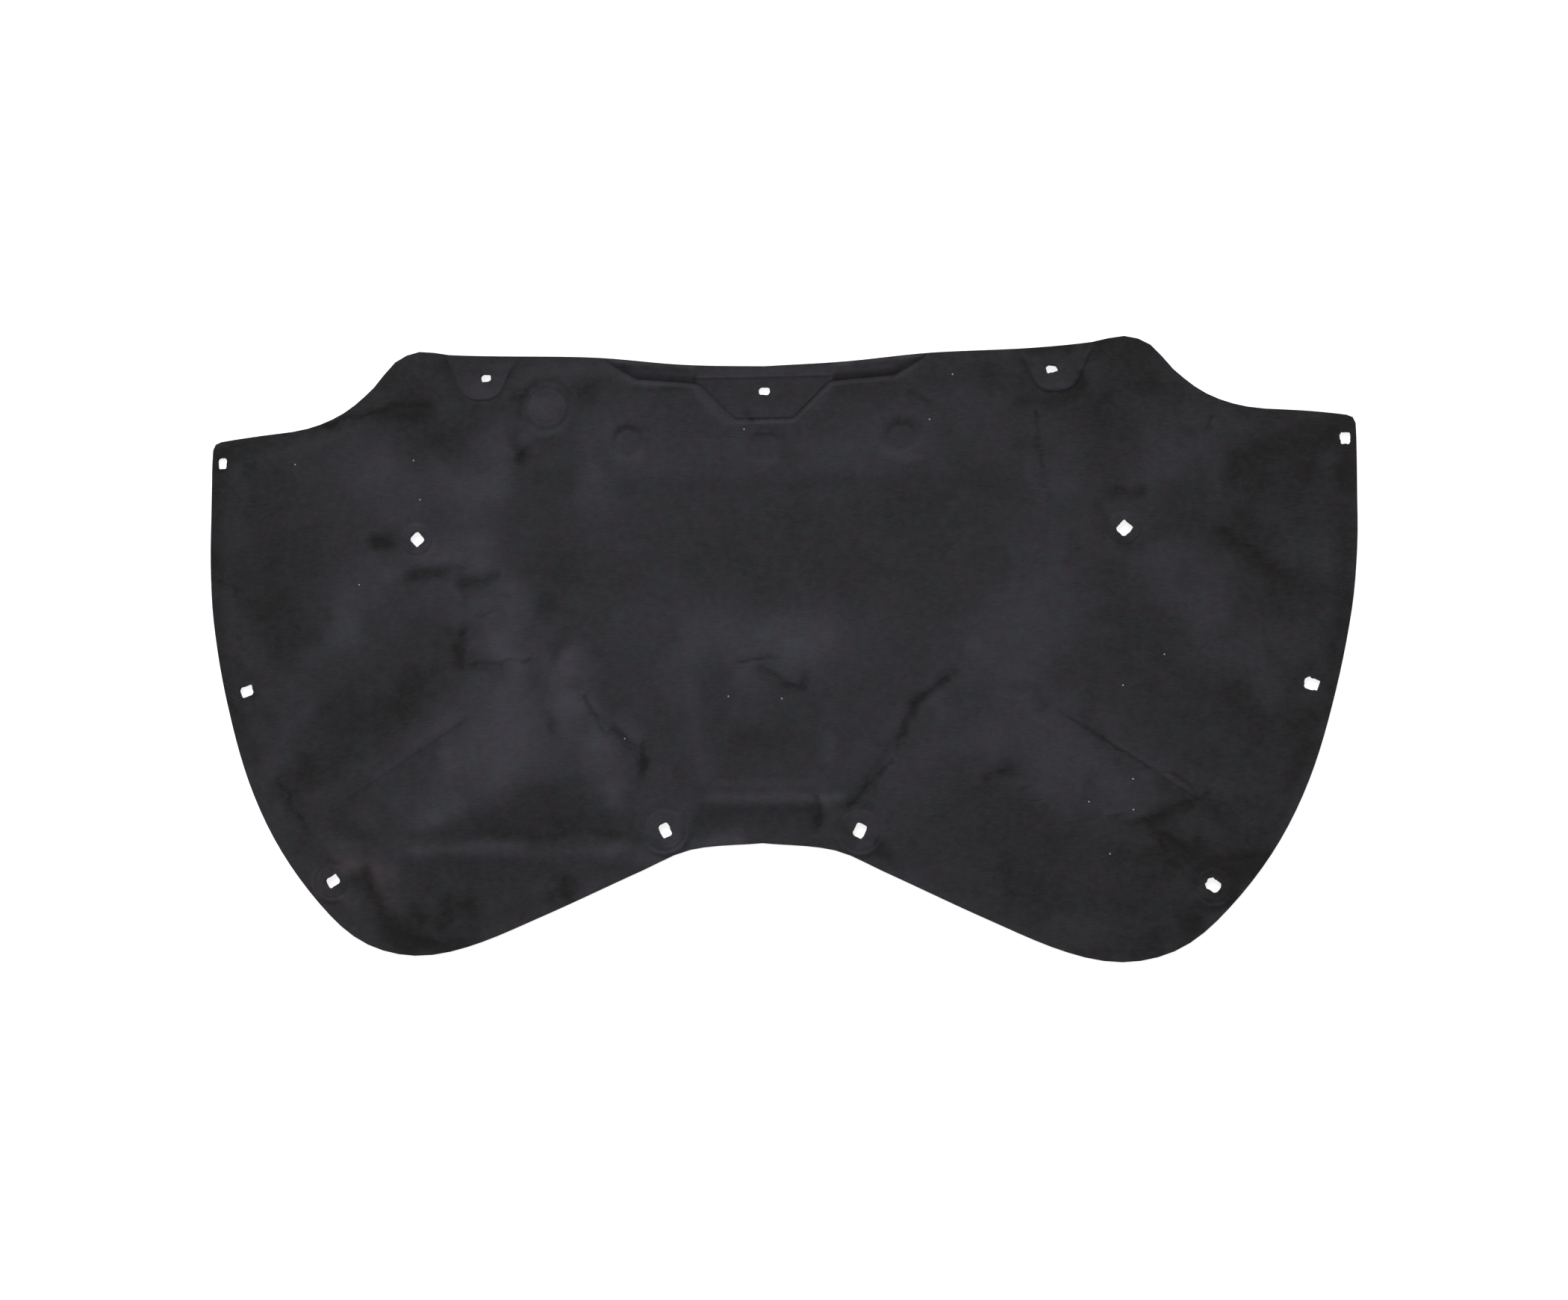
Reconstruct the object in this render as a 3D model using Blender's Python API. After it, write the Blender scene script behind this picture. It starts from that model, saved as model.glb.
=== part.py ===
"""Moulded hood insulation pad: one pressed felt panel that clips under a car's hood.

The pad lies as it would on a bench, with the side that faces the engine up.
+X runs across the car, +Y towards the windscreen, +Z out of the moulded face.
The felt is pinched thin at its rim and at the clip seats, and stands thicker between them.
A recess for the washer nozzles runs along the rear edge, and soft panels are pressed into the rest.
Every length is in metres and every angle in degrees.
"""
import math

import bmesh
import bpy
import numpy as np
from mathutils import Vector
from mathutils.geometry import delaunay_2d_cdt, interpolate_bezier

# Overall size, from the centre line and from the middle of the pad's depth
half_width = 0.679
rear_reach = 0.361
front_reach = 0.361

# Section of the felt
rim_thickness = 0.004
field_lift = 0.0046
rim_land = 0.004
rim_roll = 0.030
underside_follow = 0.33

# Rear edge: it dips in the middle, and ends in a hump beside each hinge notch
rear_dip = 0.0255
hump_x = 0.422
notch_x = 0.515
notch_depth = 0.071
corner_drop = 0.1025
corner_radius = 0.010

# Front edge: an arch between two lobes
lobe_x = 0.412
arch_rise = 0.133
arch_shoulder_x = 0.140
arch_shoulder_rise = 0.1015

# Clip holes: long side and short side
small_hole = (0.0134, 0.0094)
corner_hole = (0.0138, 0.0117)
inner_hole = (0.0163, 0.0144)
edge_hole = (0.0168, 0.0132)
hole_corner_radius = 0.0032

# Clip hole places: set in from the nearest edges, apart from the inner pair
middle_hole_inset = 0.030
rear_hole_from_hump, rear_hole_inset = 0.084, 0.0365
corner_hole_side_inset, corner_hole_rear_inset = 0.012, 0.0265
inner_hole_x, inner_hole_y = 0.4195, 0.1345
side_hole_inset, side_hole_y = 0.0515, -0.047
front_hole_side_inset, front_hole_front_inset = 0.165, 0.087
arch_hole_from_shoulder, arch_hole_inset = 0.026, 0.0465

# Clip seats: flat discs, most with a pressed line round them
seat_lift = 0.0040
seat_radius = 0.0175
arch_seat_radius = 0.0220
seat_wall = 0.006
edge_seat_lift = 0.0022
corner_seat_lift = 0.0008
plain_seat_radius = 0.012
plain_seat_wall = 0.018
pressed_line_width = 0.005
pressed_line_depth = 0.0015

# Seats of the rear pair: flared tongues that open to the rear edge, with a hollow round each
tongue_lift = 0.0030
tongue_offset = 0.005
tongue_length = 0.0595
tongue_foot_width = 0.036
tongue_mouth_width = 0.108
tongue_fillet = 0.020
tongue_hollow_width = 0.030
tongue_hollow_depth = 0.0034

# Washer nozzle recess: a pocket in the middle with a channel to each side of it, under a raised lip
pocket_half_width = 0.080
pocket_foot_half_width = 0.036
pocket_length = 0.0665
pocket_fillet = 0.014
channel_inset = 0.0225
channel_end_inset = 0.0165
channel_end_rise = 0.007
channel_half_length = 0.156
recess_half_width = 0.196
recess_wall = 0.004
lip_height = 0.0050
lip_run = 0.009
lip_edge_roll = 0.007
bead_inset = 0.013
bead_height = 0.0012
bead_half_width = 0.0025

# Dimples below the recess, and a raised disc on the left
dimple_x = 0.1625
dimple_inset = 0.0895
dimple_radius = 0.020
dimple_depth = 0.0024
square_dimple_inset = 0.099
square_dimple_side = 0.038
square_dimple_fillet = 0.010
square_dimple_depth = 0.0015
dimple_wall = 0.0045
disc_x = 0.262
disc_inset = 0.0455
disc_radius = 0.0215
disc_height = 0.0012
halo_width = 0.014
halo_depth = 0.0020

# Shield panel in the middle, with a dish at its foot and a pressed groove down each flank
shield_top_y = 0.204
shield_half_width = 0.318
shield_depth = 0.0020
shield_wall = 0.022
crest_y = 0.067
crest_run = 0.062
crest_rise = 0.0028
dish_top_y, dish_foot_y = -0.012, -0.164
dish_top_half_width, dish_foot_half_width = 0.090, 0.066
dish_fillet = 0.012
dish_depth = 0.0046
dish_slope = 0.110
dish_wall = 0.011
groove_depth = 0.0034
right_groove_half_width = 0.013
left_groove_half_width = 0.008

# Flange between the two arch seats
flange_half_width = 0.078
flange_depth = 0.050
flange_wall = 0.018

# Wing panels beside the shield, each with a lapped crease along its front edge
wing_depth = 0.0036
wing_wall = 0.030
wing_fillet = 0.030
crease_step = 0.0020
crease_wall = 0.004
crease_fade = 0.050
crease_taper = 0.030

# Valley across the left lobe, long towards the rear and short towards the front
valley_rise = 0.145
valley_inner_x, valley_outer_x = 0.130, 0.465
valley_depth = 0.0036
valley_rear_run, valley_front_run = 0.048, 0.020

# How finely the drawing is sampled, and the most of a straight side that one fillet may take
edge_pitch = 0.018
ring_pitch = 0.0095
line_pitch = 0.013
lattice_pitch = 0.0245
lattice_clearance = 0.0135
fillet_share = 0.48


def smooth_line(knots, pitch):
    """Points along one smooth curve through the knots, about a pitch apart."""
    knots = [Vector(knot) for knot in knots]
    tangents = []
    for index in range(len(knots)):
        before = knots[max(index - 1, 0)]
        after = knots[min(index + 1, len(knots) - 1)]
        tangents.append((after - before).normalized())
    points = []
    for start, end, leave, arrive in zip(knots, knots[1:], tangents, tangents[1:]):
        length = (end - start).length
        steps = max(1, round(length / pitch))
        handles = start + leave * length / 3, end - arrive * length / 3
        points.extend(interpolate_bezier(start, *handles, end, steps + 1)[:-1])
    points.append(knots[-1])
    return [(point.x, point.y) for point in points]


def straight_line(start, end, pitch):
    """Points from the start up to, but not including, the end."""
    steps = max(1, round(math.dist(start, end) / pitch))
    return [tuple(Vector(start).lerp(Vector(end), step / steps)) for step in range(steps)]


def mirrored(points):
    """The same places on the other side of the car."""
    return [(-x, y) for x, y in points]


def symmetric_ring(half):
    """Closed ring from its right half, drawn from the rear to the front."""
    return half + mirrored(reversed([point for point in half if point[0] > 0]))


def filleted_ring(corners, radius, pitch):
    """Closed ring of straight sides whose corners are rounded as far as the sides allow."""
    corners = [Vector(corner) for corner in corners]
    arcs = []
    for before, corner, after in zip(corners[-1:] + corners[:-1], corners, corners[1:] + corners[:1]):
        back, on = (before - corner), (after - corner)
        half_angle = back.angle(on) / 2
        reach = min(radius / math.tan(half_angle), back.length * fillet_share, on.length * fillet_share)
        start, end = corner + back.normalized() * reach, corner + on.normalized() * reach
        tuck = 4 / 3 * math.tan((math.pi / 2 - half_angle) / 2) * math.tan(half_angle)
        steps = max(2, round((end - start).length / pitch))
        handles = start.lerp(corner, tuck), end.lerp(corner, tuck)
        arcs.append([(point.x, point.y) for point in interpolate_bezier(start, *handles, end, steps + 1)])
    ring = []
    for arc, following in zip(arcs, arcs[1:] + arcs[:1]):
        ring += arc[:-1] + straight_line(arc[-1], following[0], pitch)
    return ring


def circle(centre, radius):
    """Closed ring round a centre."""
    steps = max(12, round(2 * math.pi * radius / ring_pitch))
    turns = [2 * math.pi * step / steps for step in range(steps)]
    return [(centre[0] + radius * math.cos(turn), centre[1] + radius * math.sin(turn)) for turn in turns]


def clip_hole(centre, size, turn):
    """Closed ring of a rectangle with round corners, turned about its centre."""
    half_long, half_short = size[0] / 2, size[1] / 2
    corners = ((half_long, half_short), (-half_long, half_short), (-half_long, -half_short), (half_long, -half_short))
    turn = math.radians(turn)
    placed = [
        (centre[0] + x * math.cos(turn) - y * math.sin(turn), centre[1] + x * math.sin(turn) + y * math.cos(turn))
        for x, y in corners
    ]
    return filleted_ring(placed, hole_corner_radius, max(size))


def offset_ring(ring, distance):
    """The ring moved along its normals, outwards for a positive distance."""
    area = sum(a[0] * b[1] - b[0] * a[1] for a, b in zip(ring, ring[1:] + ring[:1]))
    points = []
    for before, here, after in zip(ring[-1:] + ring[:-1], ring, ring[1:] + ring[:1]):
        along = Vector(after) - Vector(before)
        outwards = Vector((along.y, -along.x)).normalized() * math.copysign(distance, area * distance)
        points.append(tuple(Vector(here) + outwards))
    return points


def distance_to(points, line, closed=False):
    """Distance from each point to the nearest stretch of a line or ring."""
    ends = line[1:] + line[:1] if closed else line[1:]
    nearest = np.full(len(points), np.inf)
    for start, end in zip(line, ends):
        start, along = np.array(start), np.subtract(end, start)
        share = np.clip((points - start) @ along / (along @ along), 0, 1)
        nearest = np.minimum(nearest, np.linalg.norm(points - start - share[:, None] * along, axis=1))
    return nearest


def is_inside(points, ring):
    """Which points lie inside a closed ring."""
    inside = np.zeros(len(points), bool)
    for (x0, y0), (x1, y1) in zip(ring, ring[1:] + ring[:1]):
        if y0 == y1:
            continue
        spans = (points[:, 1] >= min(y0, y1)) & (points[:, 1] < max(y0, y1))
        crossing = x0 + (points[:, 1] - y0) * (x1 - x0) / (y1 - y0)
        inside ^= spans & (points[:, 0] < crossing)
    return inside


def depth_inside(points, ring):
    """Distance from a closed ring, positive inside it."""
    distance = distance_to(points, ring, closed=True)
    return np.where(is_inside(points, ring), distance, -distance)


def ramp(distance, run):
    """Soft step from 0 to 1 over a run."""
    share = np.clip(distance / run, 0, 1)
    return share * share * (3 - 2 * share)


def ridge(distance, half_width_of_ridge):
    """Soft ridge, 1 on its line and 0 beyond its half width."""
    return 1 - ramp(np.abs(distance), half_width_of_ridge)


# Plan of the edge, from the middle of the rear edge round to the middle of the arch
rear_middle_y = rear_reach - rear_dip
corner_y = rear_reach - corner_drop
arch_middle_y = arch_rise - front_reach
arch_shoulder_y = arch_shoulder_rise - front_reach
outline = symmetric_ring(smooth_line([
    (0, rear_middle_y),
    (0.100, rear_reach - 0.022),
    (0.200, rear_reach - 0.0132),
    (0.320, rear_reach - 0.0095),
    (hump_x - 0.037, rear_reach - 0.0055),
    (hump_x, rear_reach),
    (hump_x + 0.030, rear_reach - 0.0115),
    (hump_x + 0.056, rear_reach - 0.0415),
    (notch_x, rear_reach - notch_depth),
    (notch_x + 0.045, corner_y + 0.014),
    (half_width - 0.059, corner_y + 0.0065),
    (half_width - corner_radius, corner_y),
    (half_width - 0.3 * corner_radius, corner_y - 0.3 * corner_radius),
    (half_width, corner_y - corner_radius),
    (half_width, 0.165),
    (half_width - 0.001, 0.107),
    (half_width - 0.007, 0.0376),
    (half_width - 0.025, -0.053),
    (half_width - 0.057, -0.156),
    (half_width - 0.100, 0.122 - front_reach),
    (half_width - 0.161, 0.0475 - front_reach),
    (lobe_x + 0.058, 0.0127 - front_reach),
    (lobe_x, -front_reach),
    (lobe_x - 0.062, 0.0105 - front_reach),
    (0.260, 0.047 - front_reach),
    (arch_shoulder_x, arch_shoulder_y),
    (arch_shoulder_x - 0.055, arch_middle_y - 0.008),
    (0, arch_middle_y),
], edge_pitch))

# Clip holes: places on the right, then size and turn of the long side
middle_place = (0, rear_middle_y - middle_hole_inset)
rear_place = (hump_x - rear_hole_from_hump, rear_reach - rear_hole_inset)
corner_place = (half_width - corner_hole_side_inset, corner_y - corner_hole_rear_inset)
inner_place = (inner_hole_x, inner_hole_y)
side_place = (half_width - side_hole_inset, side_hole_y)
front_place = (half_width - front_hole_side_inset, front_hole_front_inset - front_reach)
arch_place = (arch_shoulder_x - arch_hole_from_shoulder, arch_shoulder_y + arch_hole_inset)
hole_pairs = [
    (rear_place, small_hole, 0),
    (corner_place, corner_hole, 90),
    (inner_place, inner_hole, 45),
    (side_place, edge_hole, -20),
    (front_place, edge_hole, -33),
    (arch_place, edge_hole, 65),
]
holes = [clip_hole(middle_place, small_hole, 0)]
for hole_place, hole_size, hole_turn in hole_pairs:
    right_hole = clip_hole(hole_place, hole_size, hole_turn)
    holes += [right_hole, mirrored(right_hole)]

# Round seats: place on the right, radius of the flat disc, its lift, and the run of the wall round it
lined_seats = [
    (inner_place, seat_radius, seat_lift, seat_wall),
    (front_place, seat_radius, seat_lift, seat_wall),
    (arch_place, arch_seat_radius, seat_lift, seat_wall),
]
plain_seats = [
    (side_place, plain_seat_radius, edge_seat_lift, plain_seat_wall),
    (corner_place, plain_seat_radius, corner_seat_lift, plain_seat_wall),
]
tongue_x = rear_place[0] + tongue_offset
tongue_foot_y = rear_reach - tongue_length
tongue = filleted_ring([
    (tongue_x - tongue_foot_width / 2, tongue_foot_y),
    (tongue_x + tongue_foot_width / 2, tongue_foot_y),
    (tongue_x + tongue_mouth_width / 2, rear_reach + tongue_fillet),
    (tongue_x - tongue_mouth_width / 2, rear_reach + tongue_fillet),
], tongue_fillet, ring_pitch)

# Nozzle recess, from its far end along the channel and round the pocket
recess_mouth_y = rear_reach + pocket_fillet
channel_y = rear_middle_y - channel_inset
recess_half = [
    (recess_half_width, recess_mouth_y),
    (recess_half_width, rear_middle_y + channel_end_rise),
    (channel_half_length, rear_middle_y - channel_end_inset),
    (pocket_half_width, channel_y),
    (pocket_foot_half_width, rear_middle_y - pocket_length),
]
recess = filleted_ring(recess_half + mirrored(reversed(recess_half)), pocket_fillet, ring_pitch)
bead_y = rear_middle_y - bead_inset
bead = smooth_line([(-pocket_half_width, bead_y), (pocket_half_width, bead_y)], line_pitch)

# Dimples and the disc
dimples = [(dimple_x, rear_middle_y - dimple_inset), (-dimple_x, rear_middle_y - dimple_inset)]
square_middle_y = rear_middle_y - square_dimple_inset
square_half = square_dimple_side / 2
square_dimple = filleted_ring([
    (square_half, square_middle_y + square_half),
    (-square_half, square_middle_y + square_half),
    (-square_half, square_middle_y - square_half),
    (square_half, square_middle_y - square_half),
], square_dimple_fillet, ring_pitch)
disc_centre = (-disc_x, rear_middle_y - disc_inset)

# Shield panel, its dish, and the grooves down its flanks, which the two sides don't share
shield = symmetric_ring(smooth_line([
    (0, shield_top_y),
    (shield_half_width - 0.103, shield_top_y),
    (shield_half_width - 0.028, shield_top_y - 0.028),
    (shield_half_width, shield_top_y - 0.092),
    (0.288, 0.045),
    (0.225, -0.033),
    (0.178, -0.092),
    (0.140, -0.140),
    (0.122, -0.172),
    (0.060, -0.178),
    (0, -0.178),
], line_pitch))
dish = filleted_ring([
    (dish_top_half_width, dish_top_y),
    (-dish_top_half_width, dish_top_y),
    (-dish_foot_half_width, dish_foot_y),
    (dish_foot_half_width, dish_foot_y),
], dish_fillet, line_pitch)
right_groove = smooth_line([(0.216, -0.036), (0.172, -0.092), (0.136, -0.142), (0.104, -0.184)], line_pitch)
left_groove = smooth_line([(-0.232, -0.020), (-0.203, -0.076), (-0.158, -0.116), (-0.147, -0.182)], line_pitch)
flank_grooves = [(right_groove, right_groove_half_width), (left_groove, left_groove_half_width)]
flange_y = arch_middle_y + flange_depth

# Wing panels and their creases, drawn on the right
wing = filleted_ring([
    (0.346, -0.062), (0.352, 0.030), (0.402, 0.058), (0.590, -0.104), (0.572, -0.186), (0.508, -0.178),
], wing_fillet, line_pitch)
crease = [(0.338, -0.070), (0.424, -0.126), (0.512, -0.184)]
valley_y = valley_rise - front_reach
valley = straight_line((-valley_inner_x, valley_y), (-valley_outer_x, valley_y), line_pitch)


def wing_relief(points):
    """The sunk wing panel on the right, and the step down in front of its crease."""
    start, end = np.array(crease[0]), np.array(crease[-1])
    along = (end - start) / np.linalg.norm(end - start)
    travel = (points - start) @ along
    in_front = (points - start) @ (along[1], -along[0])
    ends = ramp(travel, crease_taper) * ramp(math.dist(start, end) - travel, crease_taper)
    step = ramp(in_front, crease_wall) * (1 - ramp(in_front - crease_wall, crease_fade)) * ends
    return -wing_depth * ramp(depth_inside(points, wing), wing_wall) - crease_step * step


def shield_relief(points):
    """The shield's sunk floor, which rises to a crest behind the dish, and the grooves beside it."""
    floor = crest_rise * ramp(crest_y - points[:, 1], crest_run) - shield_depth
    relief = floor * ramp(depth_inside(points, shield), shield_wall)
    fall = ramp(dish_top_y - points[:, 1], dish_slope)
    relief -= dish_depth * fall * ramp(depth_inside(points, dish), dish_wall)
    for groove, groove_half_width in flank_grooves:
        relief -= groove_depth * ridge(distance_to(points, groove), groove_half_width)
    return relief


def valley_relief(points):
    """The valley across the left lobe."""
    x, y = points.T
    ends = ramp(-valley_inner_x - x, valley_rear_run) * ramp(x + valley_outer_x, valley_rear_run)
    run = np.where(y > valley_y, valley_rear_run, valley_front_run)
    return -valley_depth * ends * ridge(y - valley_y, run)


def small_relief(points):
    """The dimples below the nozzle recess and the disc on the left."""
    relief = -square_dimple_depth * ramp(depth_inside(points, square_dimple), dimple_wall)
    for centre in dimples:
        away = np.linalg.norm(points - centre, axis=1)
        relief -= dimple_depth * ramp(dimple_radius - away, dimple_wall)
    away = np.linalg.norm(points - disc_centre, axis=1)
    relief += disc_height * ramp(disc_radius - away, dimple_wall)
    return relief - halo_depth * ridge(away - disc_radius - halo_width / 2, halo_width / 2)


def pressed_line(outside):
    """Narrow line pressed just outside a seat, from the distance outside its edge."""
    return -pressed_line_depth * ridge(outside - pressed_line_width / 2, pressed_line_width / 2)


def moulded_lift(points):
    """Height of the moulded face above the pinched felt, at each point of the plan."""
    from_edge = depth_inside(points, outline)
    lift = field_lift + shield_relief(points) + valley_relief(points) + small_relief(points)
    lift += wing_relief(points) + wing_relief(points * (-1, 1))
    lift = np.maximum(lift, 0) * ramp(from_edge - rim_land, rim_roll)

    # Flange between the arch seats
    in_front = ramp(flange_y - points[:, 1], flange_wall)
    lift *= 1 - in_front * ramp(flange_half_width - np.abs(points[:, 0]), flange_wall / 2)

    # Seats: flat felt out to the wall, most with a line pressed round them
    lines = np.zeros(len(points))
    for seats, line_width in ((lined_seats, pressed_line_width), (plain_seats, 0)):
        for (x, y), radius, level, wall in seats:
            for centre in ((x, y), (-x, y)):
                outside = np.linalg.norm(points - centre, axis=1) - radius
                lift += (level - lift) * (1 - ramp(outside - line_width, wall))
                if line_width:
                    lines += pressed_line(outside)
    for ring in (tongue, mirrored(tongue)):
        outside = -depth_inside(points, ring)
        hollow = ramp(outside, pressed_line_width) * (1 - ramp(outside - pressed_line_width, tongue_hollow_width))
        lift = np.maximum(lift - tongue_hollow_depth * hollow, 0)
        level = tongue_lift * ramp(from_edge - rim_land, rim_roll / 2)
        lift += (level - lift) * (1 - ramp(outside, pressed_line_width))

    # Nozzle recess: flat in the pocket, with a lip behind each channel
    inside = depth_inside(points, recess)
    lift *= ramp(-inside, recess_wall)
    lines += pressed_line(inside)
    lip = ramp(inside - pressed_line_width / 2, lip_run) * ramp(from_edge, lip_edge_roll)
    lift += lip_height * lip * ramp(np.abs(points[:, 0]) - pocket_half_width, recess_wall)
    lift += bead_height * ridge(distance_to(points, bead), bead_half_width)
    return lift + lines * ramp(from_edge, rim_land)


def drawing():
    """The rings and lines that the facets follow, each with whether it is closed."""
    rings = [outline, offset_ring(outline, -rim_land), offset_ring(outline, -rim_land - rim_roll / 2)]
    rings += [offset_ring(outline, -rim_land - rim_roll), *holes]
    for seats, line_width in ((lined_seats, pressed_line_width), (plain_seats, 0)):
        for (x, y), radius, _, wall in seats:
            for centre in ((x, y), (-x, y)):
                rings += [circle(centre, radius), circle(centre, radius + line_width + wall)]
                if line_width:
                    rings.append(circle(centre, radius + line_width / 2))
    for ring in (tongue, mirrored(tongue)):
        rings += [ring, offset_ring(ring, pressed_line_width)]
    rings += [recess, offset_ring(recess, recess_wall), offset_ring(recess, -pressed_line_width / 2)]
    rings += [offset_ring(recess, -pressed_line_width / 2 - lip_run)]
    for centre in dimples:
        rings += [circle(centre, dimple_radius), circle(centre, dimple_radius - dimple_wall)]
    rings += [square_dimple, offset_ring(square_dimple, -dimple_wall)]
    rings += [circle(disc_centre, disc_radius + offset) for offset in (-dimple_wall, 0, halo_width / 2, halo_width)]
    rings += [dish, offset_ring(dish, -dish_wall), wing, mirrored(wing)]
    lines = [bead, right_groove, left_groove, valley]
    stepped = [(x + crease_wall / 2, y - crease_wall) for x, y in crease]
    for line in (crease, stepped):
        followed = smooth_line(line, line_pitch)
        lines += [followed, mirrored(followed)]
    return [(ring, True) for ring in rings] + [(line, False) for line in lines]


def lattice(lines):
    """Evenly spread points inside the outline, clear of every line of the drawing."""
    taken = np.array([point for line, closed in lines for point in line])
    rows = np.arange(-front_reach, rear_reach, lattice_pitch * math.sqrt(3) / 2)
    grid = np.array([
        (x + (row % 2) * lattice_pitch / 2, y)
        for row, y in enumerate(rows)
        for x in np.arange(-half_width, half_width, lattice_pitch)
    ])
    grid = grid[depth_inside(grid, outline) > rim_land]
    nearest = np.array([np.linalg.norm(taken - point, axis=1).min() for point in grid])
    return grid[nearest > lattice_clearance]


def plan_triangles():
    """The plan's corners and triangles, which follow every line of the drawing."""
    lines = drawing()
    plan, edges = [], []
    for line, closed in lines:
        first = len(plan)
        plan.extend(Vector(point) for point in line)
        edges.extend((first + step, first + step + 1) for step in range(len(line) - 1))
        if closed:
            edges.append((len(plan) - 1, first))
    plan.extend(Vector(point) for point in lattice(lines))
    corners, _, triangles, *_ = delaunay_2d_cdt(plan, edges, [], 0, 1e-5)
    corners = np.array([tuple(corner) for corner in corners])
    triangles = np.array([tuple(triangle) for triangle in triangles])
    middles = corners[triangles].mean(axis=1)
    kept = is_inside(middles, outline)
    for hole in holes:
        kept &= ~is_inside(middles, hole)
    return corners, triangles[kept]


def pad_mesh():
    """Extrudes the triangulated plan to a solid, and lifts its two faces to the mould."""
    corners, triangles = plan_triangles()
    bm = bmesh.new()
    verts = {index: bm.verts.new((*corners[index], 0)) for index in np.unique(triangles)}
    for triangle in triangles:
        bm.faces.new([verts[index] for index in triangle])
    underside = list(bm.verts)
    raised = bmesh.ops.extrude_face_region(bm, geom=bm.faces[:], use_keep_orig=True)["geom"]
    topside = [item for item in raised if isinstance(item, bmesh.types.BMVert)]
    for vert, lift in zip(topside, moulded_lift(np.array([vert.co.xy for vert in topside]))):
        vert.co.z = rim_thickness + lift
    for vert, lift in zip(underside, moulded_lift(np.array([vert.co.xy for vert in underside]))):
        vert.co.z = underside_follow * max(lift, 0)
    bmesh.ops.recalc_face_normals(bm, faces=bm.faces)
    mesh = bpy.data.meshes.new("insulation_pad")
    bm.to_mesh(mesh)
    bm.free()
    return mesh


def felt():
    """Charcoal needled felt: dark, quite rough, and with no metal in it."""
    material = bpy.data.materials.new("charcoal_felt")
    material.use_nodes = True
    shader = material.node_tree.nodes["Principled BSDF"]
    shader.inputs["Base Color"].default_value = (0.030, 0.029, 0.032, 1)
    shader.inputs["Roughness"].default_value = 0.95
    shader.inputs["Metallic"].default_value = 0.0
    return material


for old in list(bpy.data.objects):
    bpy.data.objects.remove(old, do_unlink=True)

collection = bpy.data.collections.new("hood_insulation_pad")
bpy.context.scene.collection.children.link(collection)
pad = bpy.data.objects.new("insulation_pad", pad_mesh())
collection.objects.link(pad)
pad.data.materials.append(felt())
pad.data.shade_smooth()
pad.data.set_sharp_from_angle(angle=math.radians(40))
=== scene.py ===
import math

import bmesh
import bpy
import numpy as np
from mathutils import Matrix, Vector, noise
from mathutils.geometry import interpolate_bezier


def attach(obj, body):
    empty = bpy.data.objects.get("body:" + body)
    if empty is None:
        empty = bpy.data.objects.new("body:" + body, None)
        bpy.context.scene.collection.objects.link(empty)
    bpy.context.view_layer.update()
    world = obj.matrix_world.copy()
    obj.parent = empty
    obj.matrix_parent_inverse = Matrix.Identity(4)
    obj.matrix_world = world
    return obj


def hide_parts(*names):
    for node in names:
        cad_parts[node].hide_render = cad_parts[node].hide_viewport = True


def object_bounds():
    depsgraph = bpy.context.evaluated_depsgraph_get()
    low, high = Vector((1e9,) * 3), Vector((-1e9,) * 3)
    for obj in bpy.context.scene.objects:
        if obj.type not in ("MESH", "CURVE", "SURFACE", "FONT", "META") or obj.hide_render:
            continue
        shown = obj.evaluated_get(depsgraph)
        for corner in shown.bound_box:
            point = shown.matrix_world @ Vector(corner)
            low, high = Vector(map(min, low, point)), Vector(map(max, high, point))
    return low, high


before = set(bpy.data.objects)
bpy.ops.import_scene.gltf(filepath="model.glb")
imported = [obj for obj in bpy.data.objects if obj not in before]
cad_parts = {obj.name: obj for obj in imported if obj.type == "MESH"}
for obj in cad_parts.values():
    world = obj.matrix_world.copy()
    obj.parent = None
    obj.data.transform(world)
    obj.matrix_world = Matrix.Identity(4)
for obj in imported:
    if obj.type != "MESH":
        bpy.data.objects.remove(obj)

cad_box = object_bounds()


# The blank. The real pad starts as a flat sheet of needled felt, and one stroke of a steel-rule die
# cuts its outline and its clip holes. Here the node's plan is laid flat as that sheet again, its cut
# edges are eased as felt is by the cut, and it is divided finely enough to take the mould's detail.
pad_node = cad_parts["insulation_pad"]
sheet_thickness = 0.004
merge_distance = 0.00002
facing_up = 0.2
wall_slack = 0.5
edge_ease = 0.0006


def flat_blank(node):
    """A copy of the node's mesh with its two faces laid flat, a sheet's thickness apart."""
    bm = bmesh.new()
    bm.from_mesh(node.data)
    bmesh.ops.remove_doubles(bm, verts=bm.verts, dist=merge_distance)
    bm.normal_update()
    for vert in bm.verts:
        on_top = any(face.normal.z > facing_up for face in vert.link_faces)
        vert.co.z = sheet_thickness if on_top else 0
    bm.normal_update()
    return bm


def cut_edges(bm):
    """Edges at which a flat face meets the wall of the cut."""
    upright = {edge: sum(abs(face.normal.z) for face in edge.link_faces) for edge in bm.edges}
    return [edge for edge, tilt in upright.items() if abs(tilt - 1) < wall_slack]


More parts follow.
